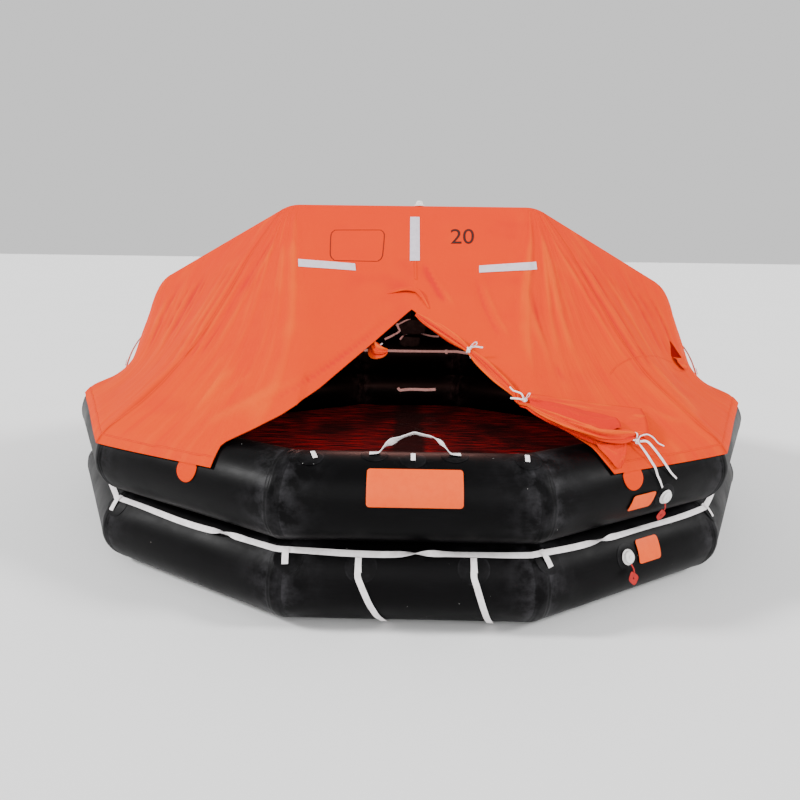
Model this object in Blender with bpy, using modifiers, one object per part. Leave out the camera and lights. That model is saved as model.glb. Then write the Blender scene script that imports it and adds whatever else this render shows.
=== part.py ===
"""Inflatable life raft: two stacked twelve-sided buoyancy tubes, an inflated floor, an arch tube and a
tent canopy with an entrance in front and a closed one behind, with its lifelines, patches and fittings.

The raft stands on a floor. +Z is up, the open entrance faces -Y, and the origin is on the floor under
the middle of the tubes. The sides are numbered from 0, which faces -Y, anticlockwise from above.
"""

import math

import bmesh
import bpy
from mathutils import Matrix, Vector
from mathutils.bvhtree import BVHTree
from mathutils.geometry import interpolate_bezier

# Buoyancy tubes
SIDES = 12
RING_RADIUS = 1.75
TUBE_RADIUS = 0.17
TUBE_SPACING = 0.325
REST_SQUASH = 0.003
CREST_SQUASH = 0.0003
TUBE_STEPS = 20
MITRE_SHARP = 15.0
GAP = 0.0003

# Inflated floor, and what is folded under it
FLOOR_BOTTOM = 0.034
FLOOR_TOP = 0.060
POCKET_SIZE = (0.46, 0.34, 0.028)
POCKET_RADIUS = 1.16
RIGHTING_STRAP_WIDTH = 0.05
RIGHTING_STRAP_THICKNESS = 0.004

# Arch tube, as the corners of its centreline on the +X side
ARCH_RADIUS = 0.10
RIDGE_X = 0.702
RIDGE_Z = 1.553
SHOULDER_X = 1.452
SHOULDER_Z = 1.131
ARCH_FILLET = 0.11
ARCH_POINT_SPACING = 0.09

# Canopy sheets
CANOPY_THICKNESS = 0.008
WRAP_ROWS = 5
SPAN_ROWS = 5
HEM_ROWS = 8
SPAN_PULL = 0.36
LEAST_WRAP = 2.0
ARCH_EASE = 0.0026
HEM_EASE = 0.0016
ARCH_END_Z = 0.80
SEAM_INSET = 0.0002
ROLL_EASE = 0.0060

# Entrance, as (x, z) points of its edge from the top down, seen from the front
ENTRANCE_TOP = (0.0, 1.135)
ENTRANCE_EDGE = ((0.24, 0.975), (0.445, 0.815), (0.63, 0.715), (0.765, 0.655), (0.80, 0.50))
CUTTER_NEAR = 0.45
CUTTER_FAR = 2.2

# Fittings
LIFELINE_ANGLE = 53.0
LIFELINE_WIDTH = 0.024
LIFELINE_THICKNESS = 0.003
PATCH_THICKNESS = 0.002
CYLINDER_RADIUS = 0.085
CYLINDER_LENGTH = 0.62
CYLINDER_SIDE = 5
CYLINDER_ALONG = -0.10
BAND_THICKNESS = 0.002
BAND_WIDTH = 0.038
HOSE_RADIUS = 0.009
HOSE_ALONG = 0.07
HOSE_ANGLE = 30.0
HOSE_BULGE = 0.03
TOW_PLATE_SIZE = (0.09, 0.005, 0.06)

# Ties of the rolled front door, and the loose tails of the lowest one
TIE_TAPE = 0.0022
TIE_EASE = 0.0008
KNOT_RADIUS = 0.012
KNOT_TURN = 85.0
TAIL_SIDE = 1

# Rolled doors, as (x, z, radius) along each roll, seen from the front
DOOR_ROLL = (
    (0.050, 1.088, 0.013),
    (0.130, 1.038, 0.018),
    (0.200, 0.994, 0.018),
    (0.248, 0.966, 0.012),
    (0.300, 0.922, 0.018),
    (0.360, 0.872, 0.020),
    (0.420, 0.828, 0.017),
    (0.446, 0.806, 0.012),
    (0.500, 0.793, 0.026),
    (0.570, 0.776, 0.038),
    (0.650, 0.752, 0.045),
    (0.730, 0.730, 0.045),
    (0.810, 0.708, 0.038),
    (0.860, 0.686, 0.018),
    (0.894, 0.674, 0.014),
    (0.945, 0.664, 0.016),
)
TIED_AT = (3, 7, 14)
INNER_ROLL = (
    (-0.115, 0.985, 0.020),
    (-0.150, 1.012, 0.028),
    (-0.190, 1.022, 0.020),
    (-0.240, 1.000, 0.026),
    (-0.330, 0.940, 0.028),
    (-0.410, 0.885, 0.026),
    (-0.470, 0.850, 0.020),
)

# Loose tails of the lowest tie: (distance along the side, degrees up the upper tube, height above it)
TAIL_ROUTES = {
    "long": (
        (0.014, 55, 0.0310),
        (0.022, 46, 0.0250),
        (0.031, 38, 0.0200),
        (0.042, 30, 0.0165),
        (0.054, 21, 0.0075),
        (0.067, 12, 0.0060),
        (0.079, 3.4, 0.0060),
    ),
    "short": (
        (0.048, 60, 0.0440),
        (0.064, 50, 0.0360),
        (0.082, 41, 0.0265),
        (0.100, 33, 0.0185),
        (0.118, 26, 0.0110),
        (0.140, 18, 0.0060),
        (0.163, 11, 0.0060),
    ),
    "thin": (
        (0.030, 67, 0.0540),
        (0.060, 66, 0.0600),
        (0.092, 63, 0.0470),
        (0.121, 59, 0.0260),
        (0.151, 55, 0.0165),
    ),
}
TAIL_RADII = {"long": 0.005, "short": 0.005, "thin": 0.003}

TURN = 2 * math.pi / SIDES
HALF_TURN = TURN / 2
APOTHEM = RING_RADIUS * math.cos(HALF_TURN)
HALF_SIDE = math.tan(HALF_TURN)
LOWER_Z = TUBE_RADIUS - REST_SQUASH
UPPER_Z = LOWER_Z + TUBE_SPACING
CONTACT = TUBE_SPACING / 2 - GAP / 2
UP = Vector((0, 0, 1))
FRONT = Vector((0, -1, 0))


def clear_scene():
    for obj in list(bpy.data.objects):
        bpy.data.objects.remove(obj, do_unlink=True)


def new_collection(name):
    collection = bpy.data.collections.new(name)
    bpy.context.scene.collection.children.link(collection)
    return collection


clear_scene()
PARTS = new_collection("inflatable_life_raft")
CUTTERS = new_collection("cutters")
CUTTERS.hide_render = True


def material(name, colour, roughness, metallic=0.0):
    found = bpy.data.materials.get(name)
    if found:
        return found
    made = bpy.data.materials.new(name)
    made.use_nodes = True
    shader = made.node_tree.nodes["Principled BSDF"]
    shader.inputs["Base Color"].default_value = (*colour, 1.0)
    shader.inputs["Roughness"].default_value = roughness
    shader.inputs["Metallic"].default_value = metallic
    return made


def rubber():
    return material("black_rubber", (0.018, 0.018, 0.020), 0.5)


def floor_fabric():
    return material("floor_fabric", (0.022, 0.018, 0.018), 0.55)


def orange_cloth():
    return material("orange_canopy", (0.85, 0.13, 0.035), 0.6)


def orange_plate():
    return material("orange_plate", (0.80, 0.12, 0.03), 0.45)


def webbing():
    return material("white_webbing", (0.72, 0.68, 0.66), 0.8)


def black_webbing():
    return material("black_webbing", (0.03, 0.03, 0.032), 0.75)


def white_plastic():
    return material("white_plastic", (0.80, 0.79, 0.76), 0.4)


def steel():
    return material("painted_steel", (0.32, 0.33, 0.34), 0.4, 0.6)


def brass():
    return material("brass", (0.60, 0.45, 0.20), 0.35, 1.0)


def finish_object(obj, surface, smooth_angle=None):
    obj.data.materials.clear()
    obj.data.materials.append(surface)
    if smooth_angle and obj.type == "MESH":
        obj.data.shade_smooth()
        obj.data.set_sharp_from_angle(angle=math.radians(smooth_angle))
    return obj


def mesh_object(name, vertices, faces, edges=(), collection=None):
    mesh = bpy.data.meshes.new(name)
    mesh.from_pydata([tuple(v) for v in vertices], list(edges), list(faces))
    mesh.update()
    obj = bpy.data.objects.new(name, mesh)
    (collection or PARTS).objects.link(obj)
    return obj


def as_cutter(obj):
    obj.hide_render = True
    obj.display_type = "WIRE"
    return obj


def boolean(obj, other, operation="DIFFERENCE"):
    modifier = obj.modifiers.new(operation.lower(), "BOOLEAN")
    modifier.operation = operation
    modifier.solver = "EXACT"
    modifier.object = other
    return modifier


def side_frame(side):
    """Outward normal and tangent of one side of the ring."""
    angle = side * TURN
    normal = Vector((math.sin(angle), -math.cos(angle), 0))
    tangent = Vector((math.cos(angle), math.sin(angle), 0))
    return normal, tangent


def on_tube(side, along, degrees, centre_z, reach):
    """A point at this reach from a tube's centreline, degrees above the horizontal on its outer side."""
    normal, tangent = side_frame(side)
    angle = math.radians(degrees)
    out = normal * (APOTHEM + reach * math.cos(angle))
    return out + tangent * along + UP * (centre_z + reach * math.sin(angle))


def tube_outline(radius, low, high, steps):
    """Clockwise section of a tube pressed flat at low under its centre and at high over it."""
    first = math.asin(high / radius)
    last = -math.asin(low / radius)
    outer = []
    for i in range(steps + 1):
        angle = first + (last - first) * i / steps
        outer.append((radius * math.cos(angle), radius * math.sin(angle)))
    return outer + [(-x, z) for x, z in reversed(outer)]


def spin(name, outline, centre_z, closed=True, collection=None):
    """Twelve-sided ring of a section, whose x is measured from the middle of a side's centreline."""
    points = [((APOTHEM + x) / math.cos(HALF_TURN), 0, z) for x, z in outline]
    edges = [(i, i + 1) for i in range(len(points) - 1)]
    if closed:
        edges.append((len(points) - 1, 0))
    obj = mesh_object(name, points, (), edges, collection)
    obj.location.z = centre_z
    obj.rotation_euler.z = HALF_TURN
    screw = obj.modifiers.new("spin", "SCREW")
    screw.axis = "Z"
    screw.steps = SIDES
    screw.render_steps = SIDES
    screw.use_merge_vertices = True
    screw.merge_threshold = 0.00005
    return obj


def make_tubes():
    outline = tube_outline(TUBE_RADIUS, LOWER_Z, CONTACT, TUBE_STEPS)
    lower = spin("lower_tube", outline, LOWER_Z)
    outline = tube_outline(TUBE_RADIUS, CONTACT, TUBE_RADIUS - CREST_SQUASH, TUBE_STEPS)
    upper = spin("upper_tube", outline, UPPER_Z)
    for tube in (lower, upper):
        finish_object(as_mesh(tube), rubber(), MITRE_SHARP)


def floor_reach(z):
    """Distance from the tubes' centreline to the floor's edge, which leans against the lower tube."""
    sine = (LOWER_Z - (FLOOR_TOP + FLOOR_BOTTOM) / 2) / TUBE_RADIUS
    cosine = math.sqrt(1 - sine * sine)
    return -(TUBE_RADIUS + GAP - (LOWER_Z - z) * sine) / cosine


def make_floor():
    outline = [(-APOTHEM, FLOOR_TOP)]
    outline.append((floor_reach(FLOOR_TOP), FLOOR_TOP))
    outline.append((floor_reach(FLOOR_BOTTOM), FLOOR_BOTTOM))
    outline.append((-APOTHEM, FLOOR_BOTTOM))
    finish_object(spin("inflated_floor", outline, 0, closed=False), floor_fabric())


def arch_corners():
    foot = Vector((APOTHEM, 0, UPPER_Z + TUBE_RADIUS * 0.6))
    return [Vector((0, 0, RIDGE_Z)), Vector((RIDGE_X, 0, RIDGE_Z)), Vector((SHOULDER_X, 0, SHOULDER_Z)), foot]


def filleted(corners, radius, spacing):
    """Points along a polyline whose inner corners are rounded, no further apart than spacing."""
    points = [corners[0].copy()]
    for before, corner, after in zip(corners, corners[1:], corners[2:]):
        back = (before - corner).normalized()
        ahead = (after - corner).normalized()
        half = back.angle(ahead) / 2
        reach = radius / math.tan(half)
        middle = corner + (back + ahead).normalized() * (radius / math.sin(half))
        start = corner + back * reach - middle
        swept = math.pi - 2 * half
        axis = start.cross(corner + ahead * reach - middle).normalized()
        for i in range(5):
            points.append(middle + Matrix.Rotation(swept * i / 4, 3, axis) @ start)
    points.append(corners[-1].copy())
    full = [points[0]]
    for a, b in zip(points, points[1:]):
        count = max(1, math.ceil((b - a).length / spacing))
        full.extend(a.lerp(b, i / count) for i in range(1, count + 1))
    return full


def bend_run(corners, radius, number):
    """Distances along a rounded polyline to the start and the end of one of its bends."""
    run = 0.0
    for i, (before, corner, after) in enumerate(zip(corners, corners[1:], corners[2:])):
        half = (before - corner).angle(after - corner) / 2
        reach = radius / math.tan(half)
        bend = radius * (math.pi - 2 * half)
        start = run + (corner - before).length - reach
        if i == number:
            return start, start + bend
        run = start + bend - reach


ARCH_LINE = filleted(arch_corners(), ARCH_FILLET, ARCH_POINT_SPACING)


def arch_at(distance):
    """Centre and outward normal of the arch, at a distance along it from the middle of the ridge."""
    run = 0.0
    for a, b in zip(ARCH_LINE, ARCH_LINE[1:]):
        length = (b - a).length
        if run + length >= distance or b is ARCH_LINE[-1]:
            ahead = (b - a).normalized()
            return a + ahead * (distance - run), Vector((-ahead.z, 0, ahead.x))
        run += length


def distance_where(test):
    run = 0.0
    for a, b in zip(ARCH_LINE, ARCH_LINE[1:]):
        if test(b):
            return run
        run += (b - a).length
    return run


RIDGE_BEND = bend_run(arch_corners(), ARCH_FILLET, 0)
SHOULDER_BEND = bend_run(arch_corners(), ARCH_FILLET, 1)
ARCH_END = distance_where(lambda point: point.z < ARCH_END_Z)


def make_tube_curve(name, points, radius, surface, resolution=4, radii=None):
    data = bpy.data.curves.new(name, "CURVE")
    data.dimensions = "3D"
    data.bevel_depth = radius
    data.bevel_resolution = resolution
    data.use_fill_caps = True
    spline = data.splines.new("POLY")
    spline.points.add(len(points) - 1)
    for i, point in enumerate(points):
        spline.points[i].co = (*point, 1)
        spline.points[i].radius = radii[i] if radii else 1.0
    spline.use_smooth = True
    obj = bpy.data.objects.new(name, data)
    PARTS.objects.link(obj)
    data.materials.append(surface)
    return obj


def as_mesh(obj):
    """A plain mesh object in place of a curve, whose caps are welded on, or of one with modifiers."""
    graph = bpy.context.evaluated_depsgraph_get()
    mesh = bpy.data.meshes.new_from_object(obj.evaluated_get(graph))
    work = bmesh.new()
    work.from_mesh(mesh)
    bmesh.ops.remove_doubles(work, verts=work.verts, dist=0.00001)
    work.to_mesh(mesh)
    work.free()
    name = obj.name
    place = obj.matrix_world.copy()
    bpy.data.objects.remove(obj, do_unlink=True)
    made = bpy.data.objects.new(name, mesh)
    made.matrix_world = place
    PARTS.objects.link(made)
    return made


def make_arch():
    left = [Vector((-p.x, p.y, p.z)) for p in reversed(ARCH_LINE[1:])]
    arch = as_mesh(make_tube_curve("arch_tube", left + ARCH_LINE, ARCH_RADIUS, rubber(), 6))
    reach = TUBE_RADIUS + GAP
    outline = tube_outline(reach, CONTACT, reach - CREST_SQUASH, TUBE_STEPS)
    boolean(arch, as_cutter(spin("arch_foot_cutter", outline, UPPER_Z, collection=CUTTERS)))
    finish_object(arch, rubber(), 40)


def hem_point(side, share, degrees, lift):
    """A point of the hem, held on the upper tube, share of the way from a side's middle to its corner."""
    angle = math.radians(degrees)
    reach = TUBE_RADIUS + HEM_EASE + lift
    out = APOTHEM + reach * math.cos(angle)
    normal, tangent = side_frame(side)
    return normal * out + tangent * (share * out * HALF_SIDE) + UP * (UPPER_Z + reach * math.sin(angle))


def landing_angle(start, side, share, hem_angle, lift):
    """The lowest angle on the upper tube that a straight line from start reaches without cutting it."""
    sides = (side, side + 1) if share > 0.999 else (side,)
    low, high = hem_angle + 4.0, 90.0
    for _ in range(30):
        degrees = (low + high) / 2
        line = hem_point(side, share, degrees, lift) - start
        angle = math.radians(degrees)
        crossing = max(line.dot(side_frame(s)[0] * math.cos(angle) + UP * math.sin(angle)) for s in sides)
        if crossing > 0:
            low = degrees
        else:
            high = degrees
    return high


def arch_wrap(centre, normal, target, reach):
    """How far round the arch the cloth lies before it leaves for the target."""
    rise = (target - centre).dot(normal)
    away = (target - centre).dot(FRONT)
    wrap = math.atan2(away, rise) - math.acos(min(1.0, reach / math.hypot(away, rise)))
    return max(wrap, math.radians(LEAST_WRAP))


def canopy_column(side, share, distance, rise, hem_angle, lift):
    """One line of the front canopy on the +X half, from the ridge over the arch and down to the hem.

    Rise is how many degrees higher than a taut line the cloth lands on the tube, in a hollow curve.
    """
    centre, normal = arch_at(distance)
    reach = ARCH_RADIUS + ARCH_EASE + lift
    wrap = arch_wrap(centre, normal, hem_point(side, share, hem_angle + 15.0, lift), reach)
    start = centre + (normal * math.cos(wrap) + FRONT * math.sin(wrap)) * reach
    landing = landing_angle(start, side, share, hem_angle, lift) + rise
    end = hem_point(side, share, landing, lift)
    wrap = arch_wrap(centre, normal, end, reach)
    points = []
    for i in range(WRAP_ROWS + 1):
        angle = wrap * i / WRAP_ROWS
        points.append(centre + (normal * math.cos(angle) + FRONT * math.sin(angle)) * reach)
    start = points[-1]
    along_tube = (end - hem_point(side, share, landing - 0.5, lift)).normalized()
    pull = (end - start).length * SPAN_PULL
    first = start + (end - start).normalized() * pull
    points.extend(interpolate_bezier(start, first, end + along_tube * pull, end, SPAN_ROWS + 1)[1:])
    for i in range(1, HEM_ROWS + 1):
        degrees = landing + (hem_angle - landing) * i / HEM_ROWS
        points.append(hem_point(side, share, degrees, lift))
    points[0].y = 0.0
    return points


def panel_columns(keys, lift):
    """Columns between keys of (side, share, arch distance, rise, hem angle, columns from the key before)."""
    columns = [canopy_column(*keys[0][:5], lift)]
    for before, key in zip(keys, keys[1:]):
        side, share, distance, rise, hem_angle, count = key
        first_share = before[1] if before[0] == side else -1.0
        for i in range(1, count + 1):
            part = i / count
            ease = part * part * (3 - 2 * part)
            here = first_share + (share - first_share) * part
            spot = before[2] + (distance - before[2]) * part
            hang = before[3] + (rise - before[3]) * ease
            hem = before[4] + (hem_angle - before[4]) * ease
            columns.append(canopy_column(side, here, spot, hang, hem, lift))
    return columns


def inset_ends(columns):
    """Draws the two end columns and the ridge row in a little, so that neighbouring sheets stay apart."""
    for end, inner in ((0, 1), (-1, -2)):
        columns[end] = [a + (b - a).normalized() * SEAM_INSET for a, b in zip(columns[end], columns[inner])]
    for column in columns:
        column[0] = column[0] + (column[1] - column[0]).normalized() * SEAM_INSET
    return columns


FRONT_KEYS = (
    (0, 0.0, 0.0, 2.0, 33.0, 0),
    (0, 1.0, RIDGE_BEND[0], 3.0, 35.5, 4),
    (1, 1.0, RIDGE_BEND[1], 7.0, 28.0, 5),
)
SIDE_KEYS = (
    (1, 1.0, RIDGE_BEND[1], 7.0, 28.0, 0),
    (2, 0.5, SHOULDER_BEND[0], 24.0, 35.0, 4),
    (2, 1.0, sum(SHOULDER_BEND) / 2, 32.0, 37.0, 2),
    (3, -0.6, SHOULDER_BEND[1], 30.0, 37.0, 2),
    (3, 0.0, ARCH_END, 0.0, 37.0, 3),
)


def canopy_shell(name, keys, to_left, to_rear):
    """A closed sheet of the canopy's thickness between its outer and inner surfaces."""
    vertices = []
    for lift in (GAP + CANOPY_THICKNESS, GAP):
        for column in inset_ends(panel_columns(keys, lift)):
            vertices.extend(column)
    rows = WRAP_ROWS + SPAN_ROWS + HEM_ROWS + 1
    count = len(vertices) // 2 // rows
    inner = count * rows
    faces = []
    for c in range(count - 1):
        for r in range(rows - 1):
            a, b = c * rows + r, (c + 1) * rows + r
            faces.append((a, a + 1, b + 1, b))
            faces.append((inner + a, inner + b, inner + b + 1, inner + a + 1))
    for c in range(count - 1):
        for a in (c * rows, c * rows + rows - 1):
            b = a + rows
            faces.append((a, b, inner + b, inner + a))
    for r in range(rows - 1):
        for a in (r, (count - 1) * rows + r):
            faces.append((a, a + 1, inner + a + 1, inner + a))
    mirror = Matrix.Diagonal((-1 if to_left else 1, -1 if to_rear else 1, 1))
    obj = mesh_object(name, [mirror @ v for v in vertices], faces)
    work = bmesh.new()
    work.from_mesh(obj.data)
    bmesh.ops.recalc_face_normals(work, faces=work.faces)
    work.to_mesh(obj.data)
    work.free()
    return obj


def entrance_cutter(name, to_rear, inset):
    """A prism through the canopy with the entrance's outline, drawn in by inset on every side."""
    edge = list(ENTRANCE_EDGE)
    outline = [ENTRANCE_TOP] + edge + [(-x, z) for x, z in reversed(edge)]
    middle = sum(z for _, z in outline) / len(outline)
    drawn = []
    for x, z in outline:
        offset = Vector((x, z - middle))
        offset *= 1 - inset / offset.length
        drawn.append((offset.x, offset.y + middle))
    facing = 1 if to_rear else -1
    near = [(x, facing * CUTTER_NEAR, z) for x, z in drawn]
    far = [(x, facing * CUTTER_FAR, z) for x, z in drawn]
    count = len(drawn)
    faces = [tuple(range(count)), tuple(range(2 * count - 1, count - 1, -1))]
    for i in range(count):
        j = (i + 1) % count
        faces.append((j, i, count + i, count + j))
    obj = mesh_object(name, near + far, faces, collection=CUTTERS)
    work = bmesh.new()
    work.from_mesh(obj.data)
    bmesh.ops.recalc_face_normals(work, faces=work.faces)
    work.to_mesh(obj.data)
    work.free()
    return as_cutter(obj)


def make_canopy():
    front_cutter = entrance_cutter("entrance_cutter", False, 0.0)
    rear_cutter = entrance_cutter("rear_entrance_cutter", True, 0.0)
    door_cutter = entrance_cutter("rear_door_outline", True, 2 * GAP)
    for hand, to_left in (("left", True), ("right", False)):
        for end, to_rear, cutter in (("front", False, front_cutter), ("rear", True, rear_cutter)):
            sheet = canopy_shell(f"canopy_{end}_{hand}", FRONT_KEYS, to_left, to_rear)
            boolean(sheet, cutter)
            finish_object(sheet, orange_cloth(), 30)
            side = canopy_shell(f"canopy_side_{end}_{hand}", SIDE_KEYS, to_left, to_rear)
            finish_object(side, orange_cloth(), 30)
        door = canopy_shell(f"rear_door_{hand}", FRONT_KEYS, to_left, True)
        boolean(door, door_cutter, "INTERSECT")
        finish_object(door, orange_cloth(), 30)


def front_sheet_tree(lift):
    """The front canopy's surface on the +X half, as a tree for ray casts."""
    columns = panel_columns(FRONT_KEYS, lift)
    rows = len(columns[0])
    vertices = [point for column in columns for point in column]
    faces = []
    for c in range(len(columns) - 1):
        for r in range(rows - 1):
            a, b = c * rows + r, (c + 1) * rows + r
            faces.append((a, a + 1, b + 1, b))
    return BVHTree.FromPolygons(vertices, faces)


def on_front_sheet(tree, x, z):
    """Place and outward normal of the front canopy at (x, z), seen from the front."""
    place, normal, _, _ = tree.ray_cast(Vector((abs(x), -3.0, z)), Vector((0, 1, 0)))
    if normal.y > 0:
        normal = -normal
    hand = -1 if x < 0 else 1
    return Vector((place.x * hand, place.y, place.z)), Vector((normal.x * hand, normal.y, normal.z))


def tapered_roll(name, points, radii):
    largest = max(radii)
    make_tube_curve(name, points, largest, orange_cloth(), 4, [radius / largest for radius in radii])


def make_door_rolls():
    """The two rolled doors; returns the places on the front one where it is tied."""
    radii = [radius for _, _, radius in INNER_ROLL]
    tree = front_sheet_tree(GAP)
    points = []
    for x, z, radius in INNER_ROLL:
        place, normal = on_front_sheet(tree, x, z)
        points.append(place - normal * (radius + GAP))
    tapered_roll("door_roll_left", points, radii)
    radii = [radius for _, _, radius in DOOR_ROLL]
    tree = front_sheet_tree(GAP + CANOPY_THICKNESS)
    points = []
    normals = []
    for x, z, radius in DOOR_ROLL:
        place, normal = on_front_sheet(tree, x, z)
        points.append(place + normal * (radius + ROLL_EASE))
        normals.append(normal)
    tapered_roll("door_roll_right", points, radii)
    return [(points[i], normals[i], (points[i + 1] - points[i - 1]).normalized(), radii[i]) for i in TIED_AT]


def smooth_route(points, spacing):
    """Points along a smooth curve through a route, about spacing apart."""
    full = [2 * points[0] - points[1]] + points + [2 * points[-1] - points[-2]]
    route = [points[0]]
    for before, a, b, after in zip(full, full[1:], full[2:], full[3:]):
        count = max(1, round((b - a).length / spacing))
        third = (b - a).length / 3
        first = a + (b - before).normalized() * third
        second = b - (after - a).normalized() * third
        route.extend(interpolate_bezier(a, first, second, b, count + 1)[1:])
    return route


def make_ties(ties):
    """A tape round the rolled door at each tie, and on the lowest one a knot with three loose tails."""
    for i, (centre, _, ahead, radius) in enumerate(ties):
        bpy.ops.mesh.primitive_torus_add(
            major_segments=24,
            minor_segments=8,
            major_radius=radius + TIE_EASE + TIE_TAPE,
            minor_radius=TIE_TAPE,
            location=centre,
            rotation=UP.rotation_difference(ahead).to_euler(),
        )
        tie = bpy.context.object
        tie.name = f"door_tie_{i + 1}"
        for collection in list(tie.users_collection):
            collection.objects.unlink(tie)
        PARTS.objects.link(tie)
        finish_object(tie, webbing(), 60)
    make_tails(make_knot(*ties[-1]))


def make_knot(centre, normal, ahead, radius):
    """The lowest tie's knot, which hangs on the lower side of its tape; returns its middle."""
    down = ahead.cross(normal)
    if down.z > 0:
        down = -down
    lean = math.radians(KNOT_TURN)
    away = normal * math.cos(lean) + down * math.sin(lean)
    work = bmesh.new()
    bmesh.ops.create_uvsphere(work, u_segments=16, v_segments=10, radius=KNOT_RADIUS)
    mesh = bpy.data.meshes.new("door_tie_knot")
    work.to_mesh(mesh)
    work.free()
    obj = bpy.data.objects.new("door_tie_knot", mesh)
    PARTS.objects.link(obj)
    obj.location = centre + away * (radius + TIE_EASE + 2 * TIE_TAPE + KNOT_RADIUS + GAP)
    finish_object(obj, webbing(), 60)
    return obj.location.copy()


def make_tails(knot):
    """The loose ends of the tie, which lie over the hem and down the upper tube."""
    for name, route in TAIL_ROUTES.items():
        points = []
        for along, degrees, lift in route:
            points.append(on_tube(TAIL_SIDE, along, degrees, UPPER_Z, TUBE_RADIUS + lift))
        start = knot + (points[0] - knot).normalized() * (KNOT_RADIUS + GAP)
        radius = TAIL_RADII[name]
        line = smooth_route([start] + points, 5 * radius)
        make_tube_curve(f"tie_tail_{name}", line, radius, webbing(), 2)


def wrapped_plate(name, place, size, surface, rounded=False, lift=GAP, thick=PATCH_THICKNESS):
    """A flexible plate of size (width, height) bonded round a tube: a rectangle, or an ellipse if rounded.

    Its place is (side, distance along the side, degrees up the tube, height of the tube's centreline).
    """
    side, along, degrees, centre_z = place
    work = bmesh.new()
    columns = 8 if rounded else 4
    bmesh.ops.create_grid(work, x_segments=columns, y_segments=8, size=1.0)
    reach = TUBE_RADIUS + lift
    for vertex in work.verts:
        x, y = vertex.co.x, vertex.co.y
        if rounded:
            x, y = x * math.sqrt(1 - y * y / 2), y * math.sqrt(1 - x * x / 2)
        arc = math.degrees(y * size[1] / 2 / reach)
        vertex.co = on_tube(side, along + x * size[0] / 2, degrees + arc, centre_z, reach)
    mesh = bpy.data.meshes.new(name)
    work.to_mesh(mesh)
    work.free()
    obj = bpy.data.objects.new(name, mesh)
    PARTS.objects.link(obj)
    solid = obj.modifiers.new("thickness", "SOLIDIFY")
    solid.thickness = thick
    solid.offset = 1.0
    solid.use_even_offset = True
    return finish_object(obj, surface, 40)


def make_signs_and_patches():
    plate = orange_plate()
    wrapped_plate("boarding_sign", (0, 0.018, 32, UPPER_Z), (0.34, 0.135), plate)
    wrapped_plate("label_plate_lower", (1, 0.06, 23, LOWER_Z), (0.125, 0.085), plate)
    wrapped_plate("label_plate_upper", (1, -0.025, -11, UPPER_Z), (0.115, 0.055), plate)
    outer = HEM_EASE + CANOPY_THICKNESS + 3 * GAP
    for hand, side, along in (("left", SIDES - 1, 0.063), ("right", 1, -0.072)):
        place = (side, along, 25.5, UPPER_Z)
        wrapped_plate(f"hem_patch_{hand}", place, (0.104, 0.104), orange_cloth(), True, outer, 0.003)
    for hand, along in (("left", -0.175), ("right", 0.24)):
        wrapped_plate(f"strap_patch_{hand}", (0, along, 36, LOWER_Z), (0.115, 0.115), rubber(), True)


def strap_band(name, side, along, first, last, lean, surface):
    """A webbing strap laid down a tube from the first to the last angle, leaning along it."""
    width = 0.026
    steps = 16
    work = bmesh.new()
    bmesh.ops.create_grid(work, x_segments=1, y_segments=steps, size=1.0)
    lift = 2 * GAP + PATCH_THICKNESS
    for vertex in work.verts:
        part = (1 - vertex.co.y) / 2
        degrees = first + (last - first) * part
        place = along + lean * part + vertex.co.x * width / 2
        vertex.co = on_tube(side, place, degrees, LOWER_Z, TUBE_RADIUS + lift)
    mesh = bpy.data.meshes.new(name)
    work.to_mesh(mesh)
    work.free()
    obj = bpy.data.objects.new(name, mesh)
    PARTS.objects.link(obj)
    solid = obj.modifiers.new("thickness", "SOLIDIFY")
    solid.thickness = LIFELINE_THICKNESS
    solid.offset = 1.0
    return finish_object(obj, surface, 40)


def make_ladder_straps():
    strap_band("ladder_strap_left", 0, -0.19, 44, -62, 0.10, webbing())
    strap_band("ladder_strap_right", 0, 0.238, 46, -62, 0.08, webbing())


def band_outline(degrees, width, thickness, lift):
    """Section of a flat band lying on a tube at this angle."""
    angle = math.radians(degrees)
    out = Vector((math.cos(angle), math.sin(angle)))
    down = Vector((math.sin(angle), -math.cos(angle)))
    low = TUBE_RADIUS + lift
    corners = (
        out * (low + thickness) - down * width / 2,
        out * (low + thickness) + down * width / 2,
        out * low + down * width / 2,
        out * low - down * width / 2,
    )
    return [(corner.x, corner.y) for corner in corners]


def make_lifelines():
    outline = band_outline(LIFELINE_ANGLE, LIFELINE_WIDTH, LIFELINE_THICKNESS, 2 * GAP + PATCH_THICKNESS)
    finish_object(spin("lifeline_outer", outline, LOWER_Z), webbing())
    outline = band_outline(160.0, LIFELINE_WIDTH, LIFELINE_THICKNESS, GAP)
    finish_object(spin("lifeline_inner", outline, UPPER_Z), webbing())


def turned(name, outline, place, axis, surface, steps=24, closed=False):
    """A turned piece: an outline of (radius, height) from the top down, standing at place along axis."""
    edges = [(i, i + 1) for i in range(len(outline) - 1)]
    if closed:
        edges.append((len(outline) - 1, 0))
    obj = mesh_object(name, [(r, 0, z) for r, z in outline], (), edges)
    screw = obj.modifiers.new("spin", "SCREW")
    screw.steps = steps
    screw.render_steps = steps
    screw.use_merge_vertices = True
    screw.merge_threshold = 0.00005
    obj.location = place
    obj.rotation_euler = UP.rotation_difference(axis).to_euler()
    return finish_object(as_mesh(obj), surface, 35)


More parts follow.
